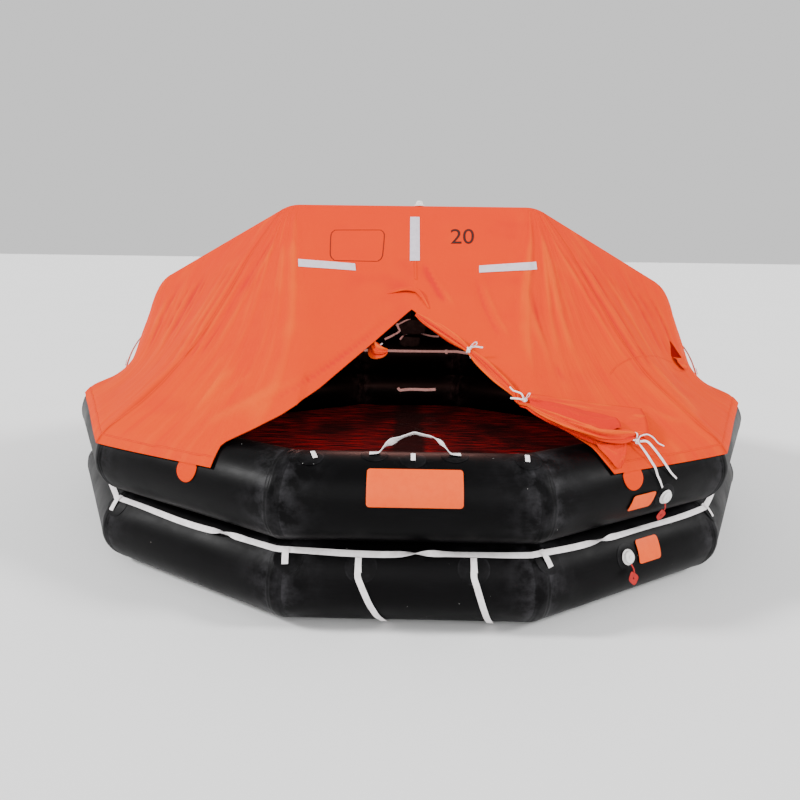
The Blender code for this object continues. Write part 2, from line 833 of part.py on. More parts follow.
def make_valves():
    outline = (
        (0, 0.022),
        (0.024, 0.022),
        (0.028, 0.018),
        (0.028, 0.010),
        (0.034, 0.008),
        (0.034, 0.002),
        (0, 0.002),
    )
    for name, side, along, degrees, z in (
        ("inflation_valve_lower", 1, -0.063, 21, LOWER_Z),
        ("inflation_valve_upper", 1, 0.11, -14, UPPER_Z),
    ):
        wrapped_plate(f"{name}_patch", (side, along, degrees, z), (0.105, 0.105), rubber(), True)
        normal, _ = side_frame(side)
        angle = math.radians(degrees)
        axis = normal * math.cos(angle) + UP * math.sin(angle)
        place = on_tube(side, along, degrees, z, TUBE_RADIUS + 2 * GAP)
        turned(name, outline, place, axis, white_plastic())


def make_boarding_handle():
    """A webbing grab handle that stands as an arch on top of the front upper tube."""
    feet = (-0.125, 0.165)
    rise = 0.075
    steps = 16
    thick = 0.004
    half_width = 0.0125
    middle = (feet[0] + feet[1]) / 2
    half = (feet[1] - feet[0]) / 2
    data = bpy.data.curves.new("boarding_handle", "CURVE")
    data.dimensions = "2D"
    data.fill_mode = "BOTH"
    data.extrude = half_width
    outline = []
    for reach, order in ((0.0, range(steps + 1)), (-thick, range(steps, -1, -1))):
        for i in order:
            angle = math.pi * (1 - i / steps)
            outline.append((middle + (half + reach) * math.cos(angle), (rise + reach) * math.sin(angle)))
    spline = data.splines.new("POLY")
    spline.points.add(len(outline) - 1)
    for i, (x, z) in enumerate(outline):
        spline.points[i].co = (x, z, 0, 1)
    spline.use_cyclic_u = True
    obj = bpy.data.objects.new("boarding_handle", data)
    PARTS.objects.link(obj)
    obj.location = (0, -APOTHEM, UPPER_Z + TUBE_RADIUS + GAP)
    obj.rotation_euler.x = math.pi / 2
    data.materials.append(webbing())


def rounded_box(name, size, place, surface, bevel, turn=0.0, segments=2):
    work = bmesh.new()
    bmesh.ops.create_cube(work, size=1.0, matrix=Matrix.Diagonal((*size, 1.0)))
    mesh = bpy.data.meshes.new(name)
    work.to_mesh(mesh)
    work.free()
    obj = bpy.data.objects.new(name, mesh)
    PARTS.objects.link(obj)
    obj.location = place
    obj.rotation_euler.z = turn
    rounding = obj.modifiers.new("rounding", "BEVEL")
    rounding.width = bevel
    rounding.segments = segments
    return finish_object(obj, surface, 40)


def make_underside():
    for i in range(4):
        angle = math.pi / 4 + i * math.pi / 2
        place = Vector((math.cos(angle), math.sin(angle), 0)) * POCKET_RADIUS
        place.z = FLOOR_BOTTOM - GAP - POCKET_SIZE[2] / 2
        rounded_box(f"water_pocket_{i + 1}", POCKET_SIZE, place, black_webbing(), 0.008, angle + math.pi / 2)
    length = 2 * (APOTHEM + floor_reach(FLOOR_BOTTOM)) - 0.04
    size = (RIGHTING_STRAP_WIDTH, length, RIGHTING_STRAP_THICKNESS)
    place = Vector((0, 0, FLOOR_BOTTOM - GAP - RIGHTING_STRAP_THICKNESS / 2))
    rounded_box("righting_strap", size, place, webbing(), 0.001, segments=1)


def make_gas_cylinder():
    """The inflation cylinder, banded to the lower tube at the rear, with the hose from its head."""
    normal, tangent = side_frame(CYLINDER_SIDE)
    held = CYLINDER_RADIUS + BAND_THICKNESS + 2 * GAP
    drop = LOWER_Z - held
    out = APOTHEM + math.sqrt((TUBE_RADIUS + held) ** 2 - drop ** 2)
    centre = normal * out + tangent * CYLINDER_ALONG + UP * held
    half = CYLINDER_LENGTH / 2
    neck = 0.026
    dome = 0.05
    outline = [(0, half + 0.012), (neck, half + 0.012), (neck, half - 0.004)]
    for i in range(1, 6):
        angle = math.pi / 2 * (1 - i / 5)
        outline.append((CYLINDER_RADIUS * math.cos(angle), half - dome + 0.046 * math.sin(angle)))
    for i in range(5):
        angle = math.pi / 2 * i / 5
        outline.append((CYLINDER_RADIUS * math.cos(angle), dome - half - dome * math.sin(angle)))
    outline.append((0, -half))
    turned("gas_cylinder", outline, centre, tangent, steel(), 32)
    inner = CYLINDER_RADIUS + GAP
    outer = inner + BAND_THICKNESS
    edge = BAND_WIDTH / 2
    section = ((outer, edge), (outer, -edge), (inner, -edge), (inner, edge))
    for i, spot in enumerate((-0.14, 0.14)):
        turned(f"cylinder_band_{i + 1}", section, centre + tangent * spot, tangent, black_webbing(), 32, True)
    head = centre + tangent * (half + 0.012 + GAP)
    outline = ((0, 0.06), (0.022, 0.06), (0.026, 0.054), (0.026, 0.012), (0.018, 0.008), (0.018, 0), (0, 0))
    turned("cylinder_head", outline, head, tangent, brass(), 20)
    make_hose(head + tangent * 0.035)


def make_hose(port):
    """The inflation hose, from the side of the cylinder's head up into its inlet on the lower tube."""
    foot = on_tube(CYLINDER_SIDE, HOSE_ALONG, HOSE_ANGLE, LOWER_Z, TUBE_RADIUS + GAP)
    angle = math.radians(HOSE_ANGLE)
    axis = side_frame(CYLINDER_SIDE)[0] * math.cos(angle) + UP * math.sin(angle)
    outline = ((0, 0.016), (0.013, 0.016), (0.015, 0.012), (0.026, 0.004), (0.026, 0), (0, 0))
    turned("hose_inlet", outline, foot, axis, brass(), 20)
    start = port + UP * (0.026 + GAP)
    end = foot + axis * (0.016 + GAP)
    straight = 1.5 * HOSE_RADIUS
    middle = start.lerp(end, 0.5) + (axis + UP) * HOSE_BULGE
    route = [start, start + UP * straight, middle, end + axis * straight, end]
    make_tube_curve("inflation_hose", smooth_route(route, 2 * HOSE_RADIUS), HOSE_RADIUS, rubber(), 3)


def make_lights():
    outline = ((0, 0.032), (0.012, 0.030), (0.020, 0.022), (0.022, 0.010), (0.030, 0.008), (0.030, 0), (0, 0))
    top = RIDGE_Z + ARCH_RADIUS + ARCH_EASE + CANOPY_THICKNESS + 2 * GAP
    turned("ridge_light", outline, Vector((0.04, 0, top)), UP, white_plastic(), 20)
    low = RIDGE_Z - ARCH_RADIUS - GAP
    turned("cabin_light", outline, Vector((0, 0, low)), -UP, white_plastic(), 20)


def make_tow_plate():
    """A steel plate at the rear, bonded to the lower tube at its widest, that a tow line shackles to."""
    place = Vector((0, APOTHEM + TUBE_RADIUS + GAP + TOW_PLATE_SIZE[1] / 2, LOWER_Z))
    rounded_box("tow_plate", TOW_PLATE_SIZE, place, steel(), 0.0015)


def make_bags():
    place = (SIDES // 2, 0, 126, UPPER_Z)
    wrapped_plate("rescue_line_bag", place, (0.20, 0.13), black_webbing(), True, GAP, 0.045)


make_tubes()
make_floor()
make_arch()
make_canopy()
make_ties(make_door_rolls())
make_signs_and_patches()
make_ladder_straps()
make_lifelines()
make_valves()
make_boarding_handle()
make_underside()
make_gas_cylinder()
make_lights()
make_tow_plate()
make_bags()
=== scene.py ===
"""Looks of the inflatable life raft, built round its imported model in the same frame.

Metres, +Z up, the open entrance faces -Y. The sides of the raft are numbered from 0, which faces -Y,
anticlockwise from above, and an angle on a tube is measured from its outermost line upwards.
"""

import math
import random

import bmesh
import bpy
import numpy as np
from mathutils import Matrix, Vector, noise
from mathutils.bvhtree import BVHTree


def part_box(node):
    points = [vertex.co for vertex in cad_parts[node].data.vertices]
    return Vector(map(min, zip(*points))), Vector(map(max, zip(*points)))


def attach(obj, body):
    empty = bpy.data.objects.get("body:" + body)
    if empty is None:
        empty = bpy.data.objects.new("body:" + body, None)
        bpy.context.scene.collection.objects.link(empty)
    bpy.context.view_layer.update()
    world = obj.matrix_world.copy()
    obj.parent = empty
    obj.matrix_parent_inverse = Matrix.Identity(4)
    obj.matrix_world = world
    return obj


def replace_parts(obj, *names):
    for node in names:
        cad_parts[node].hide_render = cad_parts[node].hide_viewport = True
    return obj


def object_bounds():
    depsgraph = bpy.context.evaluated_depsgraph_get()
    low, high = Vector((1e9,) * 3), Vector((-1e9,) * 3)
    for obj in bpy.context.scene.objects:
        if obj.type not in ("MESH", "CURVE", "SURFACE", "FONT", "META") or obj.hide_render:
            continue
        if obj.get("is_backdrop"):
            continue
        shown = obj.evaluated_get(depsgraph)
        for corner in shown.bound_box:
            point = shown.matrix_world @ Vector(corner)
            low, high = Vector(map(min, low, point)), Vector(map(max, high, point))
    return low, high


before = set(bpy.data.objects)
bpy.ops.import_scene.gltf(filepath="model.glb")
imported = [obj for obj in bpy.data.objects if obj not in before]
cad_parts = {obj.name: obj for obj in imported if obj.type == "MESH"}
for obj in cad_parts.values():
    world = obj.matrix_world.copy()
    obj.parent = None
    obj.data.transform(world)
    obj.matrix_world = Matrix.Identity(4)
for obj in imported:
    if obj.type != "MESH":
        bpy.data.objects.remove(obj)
CAD_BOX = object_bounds()

# Camera, in the raft's frame
CAMERA_PLACE = (-0.015, -3.942, 1.397)
CAMERA_PITCH = 13.23
CAMERA_YAW = -0.66
CAMERA_ROLL = 0.77
CAMERA_LENS = 28.38

# Ring of tubes
SIDES = 12
TUBE_RADIUS = 0.17
TURN = 2 * math.pi / SIDES
HALF_SIDE = math.tan(TURN / 2)
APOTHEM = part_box("lower_tube")[1].x - TUBE_RADIUS
TUBE_CONTACT = (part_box("upper_tube")[0].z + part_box("lower_tube")[1].z) / 2
UPPER_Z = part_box("upper_tube")[1].z - TUBE_RADIUS
LOWER_Z = 2 * TUBE_CONTACT - UPPER_Z
UP = Vector((0, 0, 1))
FRONT = Vector((0, -1, 0))
GAP = 0.0003

# Arch tube, as the corners of its centreline on the +X side
ARCH_RADIUS = 0.10
ARCH_FILLET = 0.11
RIDGE = Vector((0.702, 0, 1.553))
SHOULDER = Vector((1.452, 0, 1.131))
ARCH_FOOT = Vector((APOTHEM, 0, UPPER_Z + TUBE_RADIUS * 0.6))
ARCH_END_Z = 0.80

# Canopy
CLOTH_LIFT = 0.0083
CLOTH_THICKNESS = 0.003
ARCH_EASE = 0.0026
HEM_EASE = 0.0016
EASE_COLUMNS = 12
CREASE_PITCH = 0.075
CREASE_LENGTH = 0.62
WRAP_ROWS = 10
SPAN_ROWS = 84
HEM_ROWS = 14


def cloth_mesh(name, points, faces, smooth=True):
    mesh = bpy.data.meshes.new(name)
    mesh.from_pydata([tuple(p) for p in points], [], [tuple(f) for f in faces])
    mesh.update()
    if smooth:
        mesh.shade_smooth()
    obj = bpy.data.objects.new(name, mesh)
    bpy.context.scene.collection.objects.link(obj)
    return obj


def attribute(obj, name, values):
    """Stores one number a vertex under this name, for the materials to read."""
    layer = obj.data.attributes.new(name, "FLOAT", "POINT")
    layer.data.foreach_set("value", np.asarray(values, np.float32).ravel())


def smoothstep(low, high, value):
    part = np.clip((value - low) / (high - low), 0, 1)
    return part * part * (3 - 2 * part)


# Node helpers

def new_material(name):
    made = bpy.data.materials.new(name)
    made.use_nodes = True
    return made, made.node_tree, made.node_tree.nodes["Principled BSDF"]


def node(tree, kind, inputs=(), **settings):
    """A shader node with these settings, and inputs by name that are sockets to link or plain values."""
    made = tree.nodes.new("ShaderNode" + kind)
    for key, value in settings.items():
        setattr(made, key, value)
    for key, value in dict(inputs).items():
        if isinstance(value, bpy.types.NodeSocket):
            tree.links.new(value, made.inputs[key])
        else:
            made.inputs[key].default_value = value
    return made


def coordinates(tree, kind="Object"):
    return node(tree, "TexCoord").outputs[kind]


def stretched(tree, vector, scale):
    return node(tree, "Mapping", {"Vector": vector, "Scale": scale}).outputs[0]


def noise_of(tree, vector, scale, detail=4.0, roughness=0.5):
    inputs = {"Vector": vector, "Scale": scale, "Detail": detail, "Roughness": roughness}
    return node(tree, "TexNoise", inputs).outputs["Fac"]


def remap(tree, value, low, high, to_low, to_high):
    inputs = {"Value": value, "From Min": low, "From Max": high, "To Min": to_low, "To Max": to_high}
    return node(tree, "MapRange", inputs).outputs[0]


def maths(tree, operation, a, b=0.0):
    return node(tree, "Math", {0: a, 1: b}, operation=operation).outputs[0]


def mixed(tree, factor, a, b):
    made = tree.nodes.new("ShaderNodeMix")
    made.data_type = "RGBA"
    for index, value in ((0, factor), (6, a), (7, b)):
        if isinstance(value, bpy.types.NodeSocket):
            tree.links.new(value, made.inputs[index])
        else:
            made.inputs[index].default_value = value
    return made.outputs[2]


def read(tree, name):
    return node(tree, "Attribute", attribute_name=name).outputs["Fac"]


def bumped(tree, shader, layers):
    """Chains bumps of (height, strength, distance) into a shader's normal."""
    normal = None
    for height, strength, distance in layers:
        inputs = {"Height": height, "Strength": strength, "Distance": distance}
        if normal:
            inputs["Normal"] = normal
        normal = node(tree, "Bump", inputs).outputs[0]
    tree.links.new(normal, shader.inputs["Normal"])


def colour(red, green, blue):
    return (red, green, blue, 1.0)


# Materials

def canopy_material():
    """Coated orange cloth: blotches, creases along its columns, weave; painted shade deeper red towards the top,
    painted shade and painted highlight in streaks along the creases, painted shade where the attribute fold is high,
    painted highlight where the highlight attribute is high, darker where seam is high.
    """
    made, tree, shader = new_material("orange_canopy_cloth")
    place = coordinates(tree)
    blotch = noise_of(tree, place, 2.6, 3)
    fine = noise_of(tree, place, 60, 4)
    lines = node(tree, "CombineXYZ", {"X": read(tree, "across"), "Y": read(tree, "down"), "Z": 0.0}).outputs[0]
    slack = read(tree, "slack")
    pulled = noise_of(tree, lines, 1.0, 3, 0.5)
    height = node(tree, "SeparateXYZ", {"Vector": place}).outputs[2]
    base = mixed(tree, remap(tree, blotch, 0.3, 0.7, 0, 1), colour(0.66, 0.034, 0.000), colour(0.68, 0.047, 0.000))
    base = mixed(tree, remap(tree, fine, 0.3, 0.8, 0, 0.25), base, colour(0.69, 0.058, 0.000))
    # Painted shade: the cloth turns deeper red towards the top.
    base = mixed(tree, remap(tree, height, 0.75, 1.65, 0, 0.75), base, colour(0.68, 0.026, 0.000))
    # Painted shade and painted highlight in streaks along the creases of the slack side panels.
    dark = maths(tree, "MULTIPLY", remap(tree, pulled, 0.46, 0.33, 0, 0.40), slack)
    light = maths(tree, "MULTIPLY", remap(tree, pulled, 0.55, 0.68, 0, 0.35), slack)
    base = mixed(tree, dark, base, colour(0.65, 0.016, 0.000))
    base = mixed(tree, light, base, colour(0.74, 0.080, 0.002))
    # Painted shade where the attribute fold is high: crease hollows, undersides of rolls, the lookout hole; then
    # painted highlight on crests where the highlight attribute is high.
    base = mixed(tree, read(tree, "fold"), base, colour(0.58, 0.011, 0.006))
    base = mixed(tree, read(tree, "painted_highlight"), base, colour(0.74, 0.10, 0.003))
    base = mixed(tree, read(tree, "seam"), base, colour(0.35, 0.005, 0.000))
    tree.links.new(base, shader.inputs["Base Color"])
    tree.links.new(remap(tree, blotch, 0.2, 0.8, 0.62, 0.78), shader.inputs["Roughness"])
    shader.inputs["Specular IOR Level"].default_value = 0.04
    along = stretched(tree, place, (1.0, 1.0, 0.45))
    crease = noise_of(tree, along, 11, 5, 0.55)
    warp = node(tree, "TexWave", {"Vector": place, "Scale": 330.0, "Distortion": 0.4}, bands_direction="X").outputs[1]
    weft = node(tree, "TexWave", {"Vector": place, "Scale": 330.0, "Distortion": 0.4}, bands_direction="Z").outputs[1]
    weave = maths(tree, "MULTIPLY", warp, weft)
    bumped(tree, shader, ((maths(tree, "MULTIPLY", pulled, slack), 0.45, 0.020), (crease, 0.30, 0.010), (fine, 0.12, 0.002), (weave, 0.10, 0.0004)))
    return made


def inside_painted_shade_material():
    # The inside of the canopy, coloured near black as painted shade for the dark inside of the raft.
    made, tree, shader = new_material("canopy_inside_painted_shade")
    place = coordinates(tree)
    blotch = noise_of(tree, place, 7, 4)
    base = mixed(tree, blotch, colour(0.004, 0.003, 0.003), colour(0.012, 0.008, 0.008))
    tree.links.new(base, shader.inputs["Base Color"])
    shader.inputs["Roughness"].default_value = 0.75
    shader.inputs["Specular IOR Level"].default_value = 0.1
    bumped(tree, shader, ((noise_of(tree, place, 18, 5), 0.4, 0.01),))
    return made


def rubber_material(name="black_rubber_cloth", dusty=1.0):
    """Black rubber-coated cloth: soft sheen, faint dust, scuffs where the attribute wear is high, specks."""
    made, tree, shader = new_material(name)
    place = coordinates(tree)
    cloud = noise_of(tree, place, 3.2, 5, 0.6)
    scratch = noise_of(tree, stretched(tree, place, (5, 5, 60)), 2.5, 6, 0.7)
    patchy = noise_of(tree, place, 14, 6, 0.65)
    wear = maths(tree, "MULTIPLY", read(tree, "wear"), remap(tree, patchy, 0.42, 0.72, 0, 1))
    dust = maths(tree, "MULTIPLY", remap(tree, cloud, 0.48, 0.75, 0, 1), remap(tree, scratch, 0.4, 0.7, 0, 1))
    cells = node(tree, "TexVoronoi", {"Vector": place, "Scale": 26.0, "Randomness": 1.0})
    speck = maths(tree, "LESS_THAN", cells.outputs["Distance"], 0.045)
    rare = maths(tree, "GREATER_THAN", node(tree, "SeparateColor", {"Color": cells.outputs["Color"]}).outputs[0], 0.82)
    speck = maths(tree, "MULTIPLY", speck, rare)
    base = mixed(tree, maths(tree, "MULTIPLY", dust, 0.55 * dusty), colour(0.0010, 0.0009, 0.0011), colour(0.0085, 0.0080, 0.0090))
    base = mixed(tree, maths(tree, "MULTIPLY", wear, 0.8 * dusty), base, colour(0.055, 0.053, 0.058))
    base = mixed(tree, maths(tree, "MULTIPLY", speck, 0.75 * dusty), base, colour(0.35, 0.34, 0.33))
    tree.links.new(base, shader.inputs["Base Color"])
    rough = maths(tree, "ADD", remap(tree, cloud, 0.3, 0.7, 0.36, 0.50), maths(tree, "MULTIPLY", dust, 0.12))
    tree.links.new(rough, shader.inputs["Roughness"])
    shader.inputs["Specular IOR Level"].default_value = 0.062
    grain = noise_of(tree, place, 240, 3)
    bumped(tree, shader, ((patchy, 0.18, 0.004), (scratch, 0.08, 0.002), (grain, 0.10, 0.0006)))
    return made


def webbing_material(name, light, dark):
    """Woven tape: ribs across it and a herringbone along it, read from its UV map in metres."""
    made, tree, shader = new_material(name)
    place = coordinates(tree, "UV")
    ribs = node(tree, "TexWave", {"Vector": place, "Scale": 120.0, "Distortion": 0.5}, bands_direction="X").outputs[1]
    rows = node(tree, "TexWave", {"Vector": place, "Scale": 90.0, "Distortion": 1.5}, bands_direction="DIAGONAL").outputs[1]
    soil = noise_of(tree, coordinates(tree), 34, 5, 0.6)
    base = mixed(tree, remap(tree, soil, 0.35, 0.8, 0, 1), light, dark)
    base = mixed(tree, maths(tree, "MULTIPLY", ribs, 0.12), base, dark)
    tree.links.new(base, shader.inputs["Base Color"])
    shader.inputs["Roughness"].default_value = 0.85
    shader.inputs["Specular IOR Level"].default_value = 0.2
    bumped(tree, shader, ((ribs, 0.35, 0.0006), (rows, 0.25, 0.0005)))
    return made


def dark_cloth_material():
    """Black nylon of the pouches: a square weave, soft creases, a little dust in patches."""
    made, tree, shader = new_material("dark_pouch_cloth")
    place = coordinates(tree)
    soil = noise_of(tree, place, 24, 5, 0.6)
    crease = noise_of(tree, stretched(tree, place, (1.0, 2.4, 1.0)), 15, 4, 0.6)
    warp = node(tree, "TexWave", {"Vector": place, "Scale": 260.0, "Distortion": 0.3}, bands_direction="X").outputs[1]
    weft = node(tree, "TexWave", {"Vector": place, "Scale": 260.0, "Distortion": 0.3}, bands_direction="Y").outputs[1]
    base = mixed(tree, remap(tree, soil, 0.4, 0.75, 0, 1), colour(0.010, 0.010, 0.011), colour(0.032, 0.031, 0.032))
    tree.links.new(base, shader.inputs["Base Color"])
    shader.inputs["Roughness"].default_value = 0.8
    shader.inputs["Specular IOR Level"].default_value = 0.2
    bumped(tree, shader, ((crease, 0.4, 0.006), (maths(tree, "MULTIPLY", warp, weft), 0.2, 0.0005)))
    return made


def moulded_material(name, light, dark, roughness, metallic=0.0):
    """Moulded or painted surface: fine orange peel, faint soiling in patches."""
    made, tree, shader = new_material(name)
    place = coordinates(tree)
    soil = noise_of(tree, place, 30, 5, 0.6)
    base = mixed(tree, remap(tree, soil, 0.45, 0.8, 0, 1), light, dark)
    tree.links.new(base, shader.inputs["Base Color"])
    tree.links.new(remap(tree, soil, 0.3, 0.7, roughness - 0.06, roughness + 0.1), shader.inputs["Roughness"])
    shader.inputs["Specular IOR Level"].default_value = 0.5 if metallic else 0.2
    shader.inputs["Metallic"].default_value = metallic
    bumped(tree, shader, ((noise_of(tree, place, 420, 2), 0.08, 0.0004), (soil, 0.06, 0.001)))
    return made


def stitched_material():
    """A felled seam of the canopy cloth: two rows of stitches across its UV map in metres."""
    made, tree, shader = new_material("stitched_canopy_seam")
    split = node(tree, "SeparateXYZ", {"Vector": coordinates(tree, "UV")})
    along, across = split.outputs[0], maths(tree, "ABSOLUTE", split.outputs[1])
    row = maths(tree, "COMPARE", across, 0.0030)
    row.node.inputs[2].default_value = 0.0006
    dash = maths(tree, "GREATER_THAN", maths(tree, "FRACT", maths(tree, "MULTIPLY", along, 160.0)), 0.3)
    stitch = maths(tree, "MULTIPLY", row, dash)
    soil = noise_of(tree, coordinates(tree), 22, 4)
    base = mixed(tree, remap(tree, soil, 0.3, 0.7, 0, 1), colour(0.64, 0.030, 0.000), colour(0.67, 0.042, 0.000))
    base = mixed(tree, maths(tree, "MULTIPLY", stitch, 0.55), base, colour(0.38, 0.010, 0.000))
    tree.links.new(base, shader.inputs["Base Color"])
    shader.inputs["Roughness"].default_value = 0.72
    shader.inputs["Specular IOR Level"].default_value = 0.05
    bumped(tree, shader, ((stitch, 0.5, 0.0006), (soil, 0.15, 0.001)))
    return made


def floor_material():
    """Inflated floor: black coated cloth with a painted deep red reflection of the canopy in streaks lengthwise, and
    creases.
    """
    made, tree, shader = new_material("raft_floor_cloth")
    place = coordinates(tree)
    streaks = noise_of(tree, stretched(tree, place, (2.2, 46, 1)), 1.6, 7, 0.68)
    cloud = noise_of(tree, place, 1.9, 3)
    # Painted reflection: red streaks of the canopy's light on the glossy floor, little of it on the middle panel.
    band = read(tree, "painted_reflection_share")
    painted_reflection = maths(tree, "MULTIPLY", remap(tree, streaks, 0.47, 0.66, 0, 1), remap(tree, cloud, 0.38, 0.55, 0.15, 1))
    painted_reflection = maths(tree, "MULTIPLY", painted_reflection, band)
    base = mixed(tree, painted_reflection, colour(0.012, 0.006, 0.007), colour(0.31, 0.008, 0.017))
    tree.links.new(base, shader.inputs["Base Color"])
    tree.links.new(remap(tree, streaks, 0.3, 0.7, 0.30, 0.5), shader.inputs["Roughness"])
    shader.inputs["Specular IOR Level"].default_value = 0.2
    bumped(tree, shader, ((streaks, 0.4, 0.006), (noise_of(tree, place, 200, 3), 0.1, 0.0006)))
    return made


CANOPY = canopy_material()
INSIDE_PAINTED_SHADE = inside_painted_shade_material()
RUBBER = rubber_material()
WHITE_WEBBING = webbing_material("white_webbing", colour(0.95, 0.91, 0.92), colour(0.70, 0.65, 0.64))
BLACK_WEBBING = webbing_material("black_webbing_cloth", colour(0.012, 0.012, 0.013), colour(0.006, 0.006, 0.006))
DARK_CLOTH = dark_cloth_material()
FLOOR_CLOTH = floor_material()
PLATE = moulded_material("orange_plate", colour(0.80, 0.085, 0.004), colour(0.76, 0.066, 0.003), 0.55)
PLASTIC = moulded_material("white_plastic", colour(0.80, 0.79, 0.77), colour(0.62, 0.60, 0.58), 0.36)
TAG_RED = moulded_material("red_tag_plastic", colour(0.42, 0.012, 0.010), colour(0.30, 0.010, 0.008), 0.5)
STEEL = moulded_material("grey_painted_steel", colour(0.20, 0.21, 0.22), colour(0.13, 0.13, 0.14), 0.38, 0.5)
BRASS = moulded_material("brass", colour(0.62, 0.42, 0.16), colour(0.45, 0.30, 0.12), 0.32, 1.0)
BLACK_PLASTIC = moulded_material("black_plastic", colour(0.012, 0.012, 0.013), colour(0.006, 0.006, 0.007), 0.4)
STITCHED = stitched_material()
TAPE = moulded_material("reflective_tape", colour(0.60, 0.54, 0.60), colour(0.50, 0.45, 0.50), 0.35)
INK = moulded_material("printed_ink", colour(0.03, 0.005, 0.004), colour(0.05, 0.008, 0.006), 0.6)


def give(obj, surface, slot=None, *more):
    obj.data.materials.clear()
    for each in (surface, *more):
        obj.data.materials.append(each)
    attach(obj, "root")
    return obj


# Camera and light

def make_camera():
    data = bpy.data.cameras.new("camera")
    data.lens = CAMERA_LENS
    camera = bpy.data.objects.new("camera", data)
    bpy.context.scene.collection.objects.link(camera)
    turn = Matrix.Rotation(math.radians(-CAMERA_YAW), 3, "Z")
    turn = turn @ Matrix.Rotation(math.radians(90 - CAMERA_PITCH), 3, "X")
    turn = turn @ Matrix.Rotation(math.radians(CAMERA_ROLL), 3, "Z")
    camera.matrix_world = Matrix.Translation(CAMERA_PLACE) @ turn.to_4x4()
    bpy.context.scene.camera = camera
    return camera


def make_stage():
    world = bpy.data.worlds.new("studio")
    world.use_nodes = True
    background = world.node_tree.nodes["Background"]
    background.inputs[0].default_value = colour(1.0, 1.0, 1.0)
    background.inputs[1].default_value = 0.9
    bpy.context.scene.world = world
    for name, strength, angle, tilt, turn in (("key", 3.5, 9, 56, -84), ("fill", 2.5, 12, 56, 78), ("front", 1.35, 40, 60, 0)):
        data = bpy.data.lights.new(name, "SUN")
        data.energy = strength
        data.angle = math.radians(angle)
        light = bpy.data.objects.new(name, data)
        light.rotation_euler = (math.radians(tilt), 0, math.radians(turn))
        bpy.context.scene.collection.objects.link(light)
    data = bpy.data.lights.new("cabin_glow", "AREA")
    data.energy = 30
    data.shape = "RECTANGLE"
    data.size = 1.1
    data.size_y = 0.4
    data.color = (1.0, 0.46, 0.40)
    light = bpy.data.objects.new("cabin_glow", data)
    light.location = (0, 0.12, 1.28)
    bpy.context.scene.collection.objects.link(light)
    size = 120
    corners = [(-size, -size, 0), (size, -size, 0), (size, size, 0), (-size, size, 0)]
    floor = cloth_mesh("studio_floor", corners, [(0, 1, 2, 3)], False)
    made, tree, shader = new_material("pale_floor")
    tint = noise_of(tree, coordinates(tree), 0.7, 3)
    tree.links.new(mixed(tree, tint, colour(0.80, 0.80, 0.80), colour(0.84, 0.84, 0.84)), shader.inputs["Base Color"])
    shader.inputs["Roughness"].default_value = 0.8
    floor.data.materials.append(made)
    floor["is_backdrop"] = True


# Ring geometry

def side_frame(side):
    angle = side * TURN
    return Vector((math.sin(angle), -math.cos(angle), 0)), Vector((math.cos(angle), math.sin(angle), 0))


def on_tube(side, along, degrees, centre_z, lift=0.0):
    """A point lift above a tube, along metres from its side's middle, degrees above its outermost line."""
    normal, tangent = side_frame(side)
    angle = math.radians(degrees)
    reach = TUBE_RADIUS + lift
    return normal * (APOTHEM + reach * math.cos(angle)) + tangent * along + UP * (centre_z + reach * math.sin(angle))


# Canopy surface

def arch_corners():
    return [Vector((0, 0, RIDGE.z)), RIDGE, SHOULDER, ARCH_FOOT]


def arch_runs():
    """Straight and round runs of the arch's centreline: (length, start, direction, turn, arc centre)."""
    corners = arch_corners()
    runs, here = [], corners[0]
    for before, corner, after in zip(corners, corners[1:], corners[2:]):
        back, ahead = (before - corner).normalized(), (after - corner).normalized()
        half = back.angle(ahead) / 2
        reach = ARCH_FILLET / math.tan(half)
        start, end = corner + back * reach, corner + ahead * reach
        runs.append(((start - here).length, here, -back, 0.0, None))
        middle = corner + (back + ahead).normalized() * (ARCH_FILLET / math.sin(half))
        runs.append((ARCH_FILLET * (math.pi - 2 * half), start, -back, math.pi - 2 * half, middle))
        here = end
    runs.append(((corners[-1] - here).length, here, (corners[-1] - here).normalized(), 0.0, None))
    return runs


ARCH_RUNS = arch_runs()
RIDGE_BEND = (ARCH_RUNS[0][0], ARCH_RUNS[0][0] + ARCH_RUNS[1][0])
SHOULDER_BEND = (RIDGE_BEND[1] + ARCH_RUNS[2][0], RIDGE_BEND[1] + ARCH_RUNS[2][0] + ARCH_RUNS[3][0])
ARCH_END = SHOULDER_BEND[1] + ARCH_RUNS[4][0] * (ARCH_RUNS[4][1].z - ARCH_END_Z) / (ARCH_RUNS[4][1].z - ARCH_FOOT.z)


def arch_at(distance):
    """Centre, outward normal and direction of the arch, at a distance along it from the middle of the ridge."""
    for length, start, ahead, turn, middle in ARCH_RUNS:
        if distance <= length or middle is None and start is ARCH_RUNS[-1][1]:
            break
        distance -= length
    if middle is None:
        return start + ahead * distance, Vector((-ahead.z, 0, ahead.x)), ahead
    spun = Matrix.Rotation(turn * distance / length, 3, "Y")
    ahead = spun @ ahead
    return middle + spun @ (start - middle), Vector((-ahead.z, 0, ahead.x)), ahead


def hem_point(side, share, degrees, lift):
    angle = math.radians(degrees)
    reach = TUBE_RADIUS + HEM_EASE + lift
    out = APOTHEM + reach * math.cos(angle)
    normal, tangent = side_frame(side)
    return normal * out + tangent * (share * out * HALF_SIDE) + UP * (UPPER_Z + reach * math.sin(angle))


def landing_angle(start, side, share, lift, hem_angle):
    """The lowest angle on the upper tube that a straight line from start reaches without cutting it."""
    sides = (side, side + 1) if share > 0.999 else (side,)
    low, high = hem_angle + 4.0, 90.0
    for _ in range(24):
        degrees = (low + high) / 2
        line = hem_point(side, share, degrees, lift) - start
        angle = math.radians(degrees)
        crossing = max(line.dot(side_frame(s)[0] * math.cos(angle) + UP * math.sin(angle)) for s in sides)
        low, high = (degrees, high) if crossing > 0 else (low, degrees)
    return high


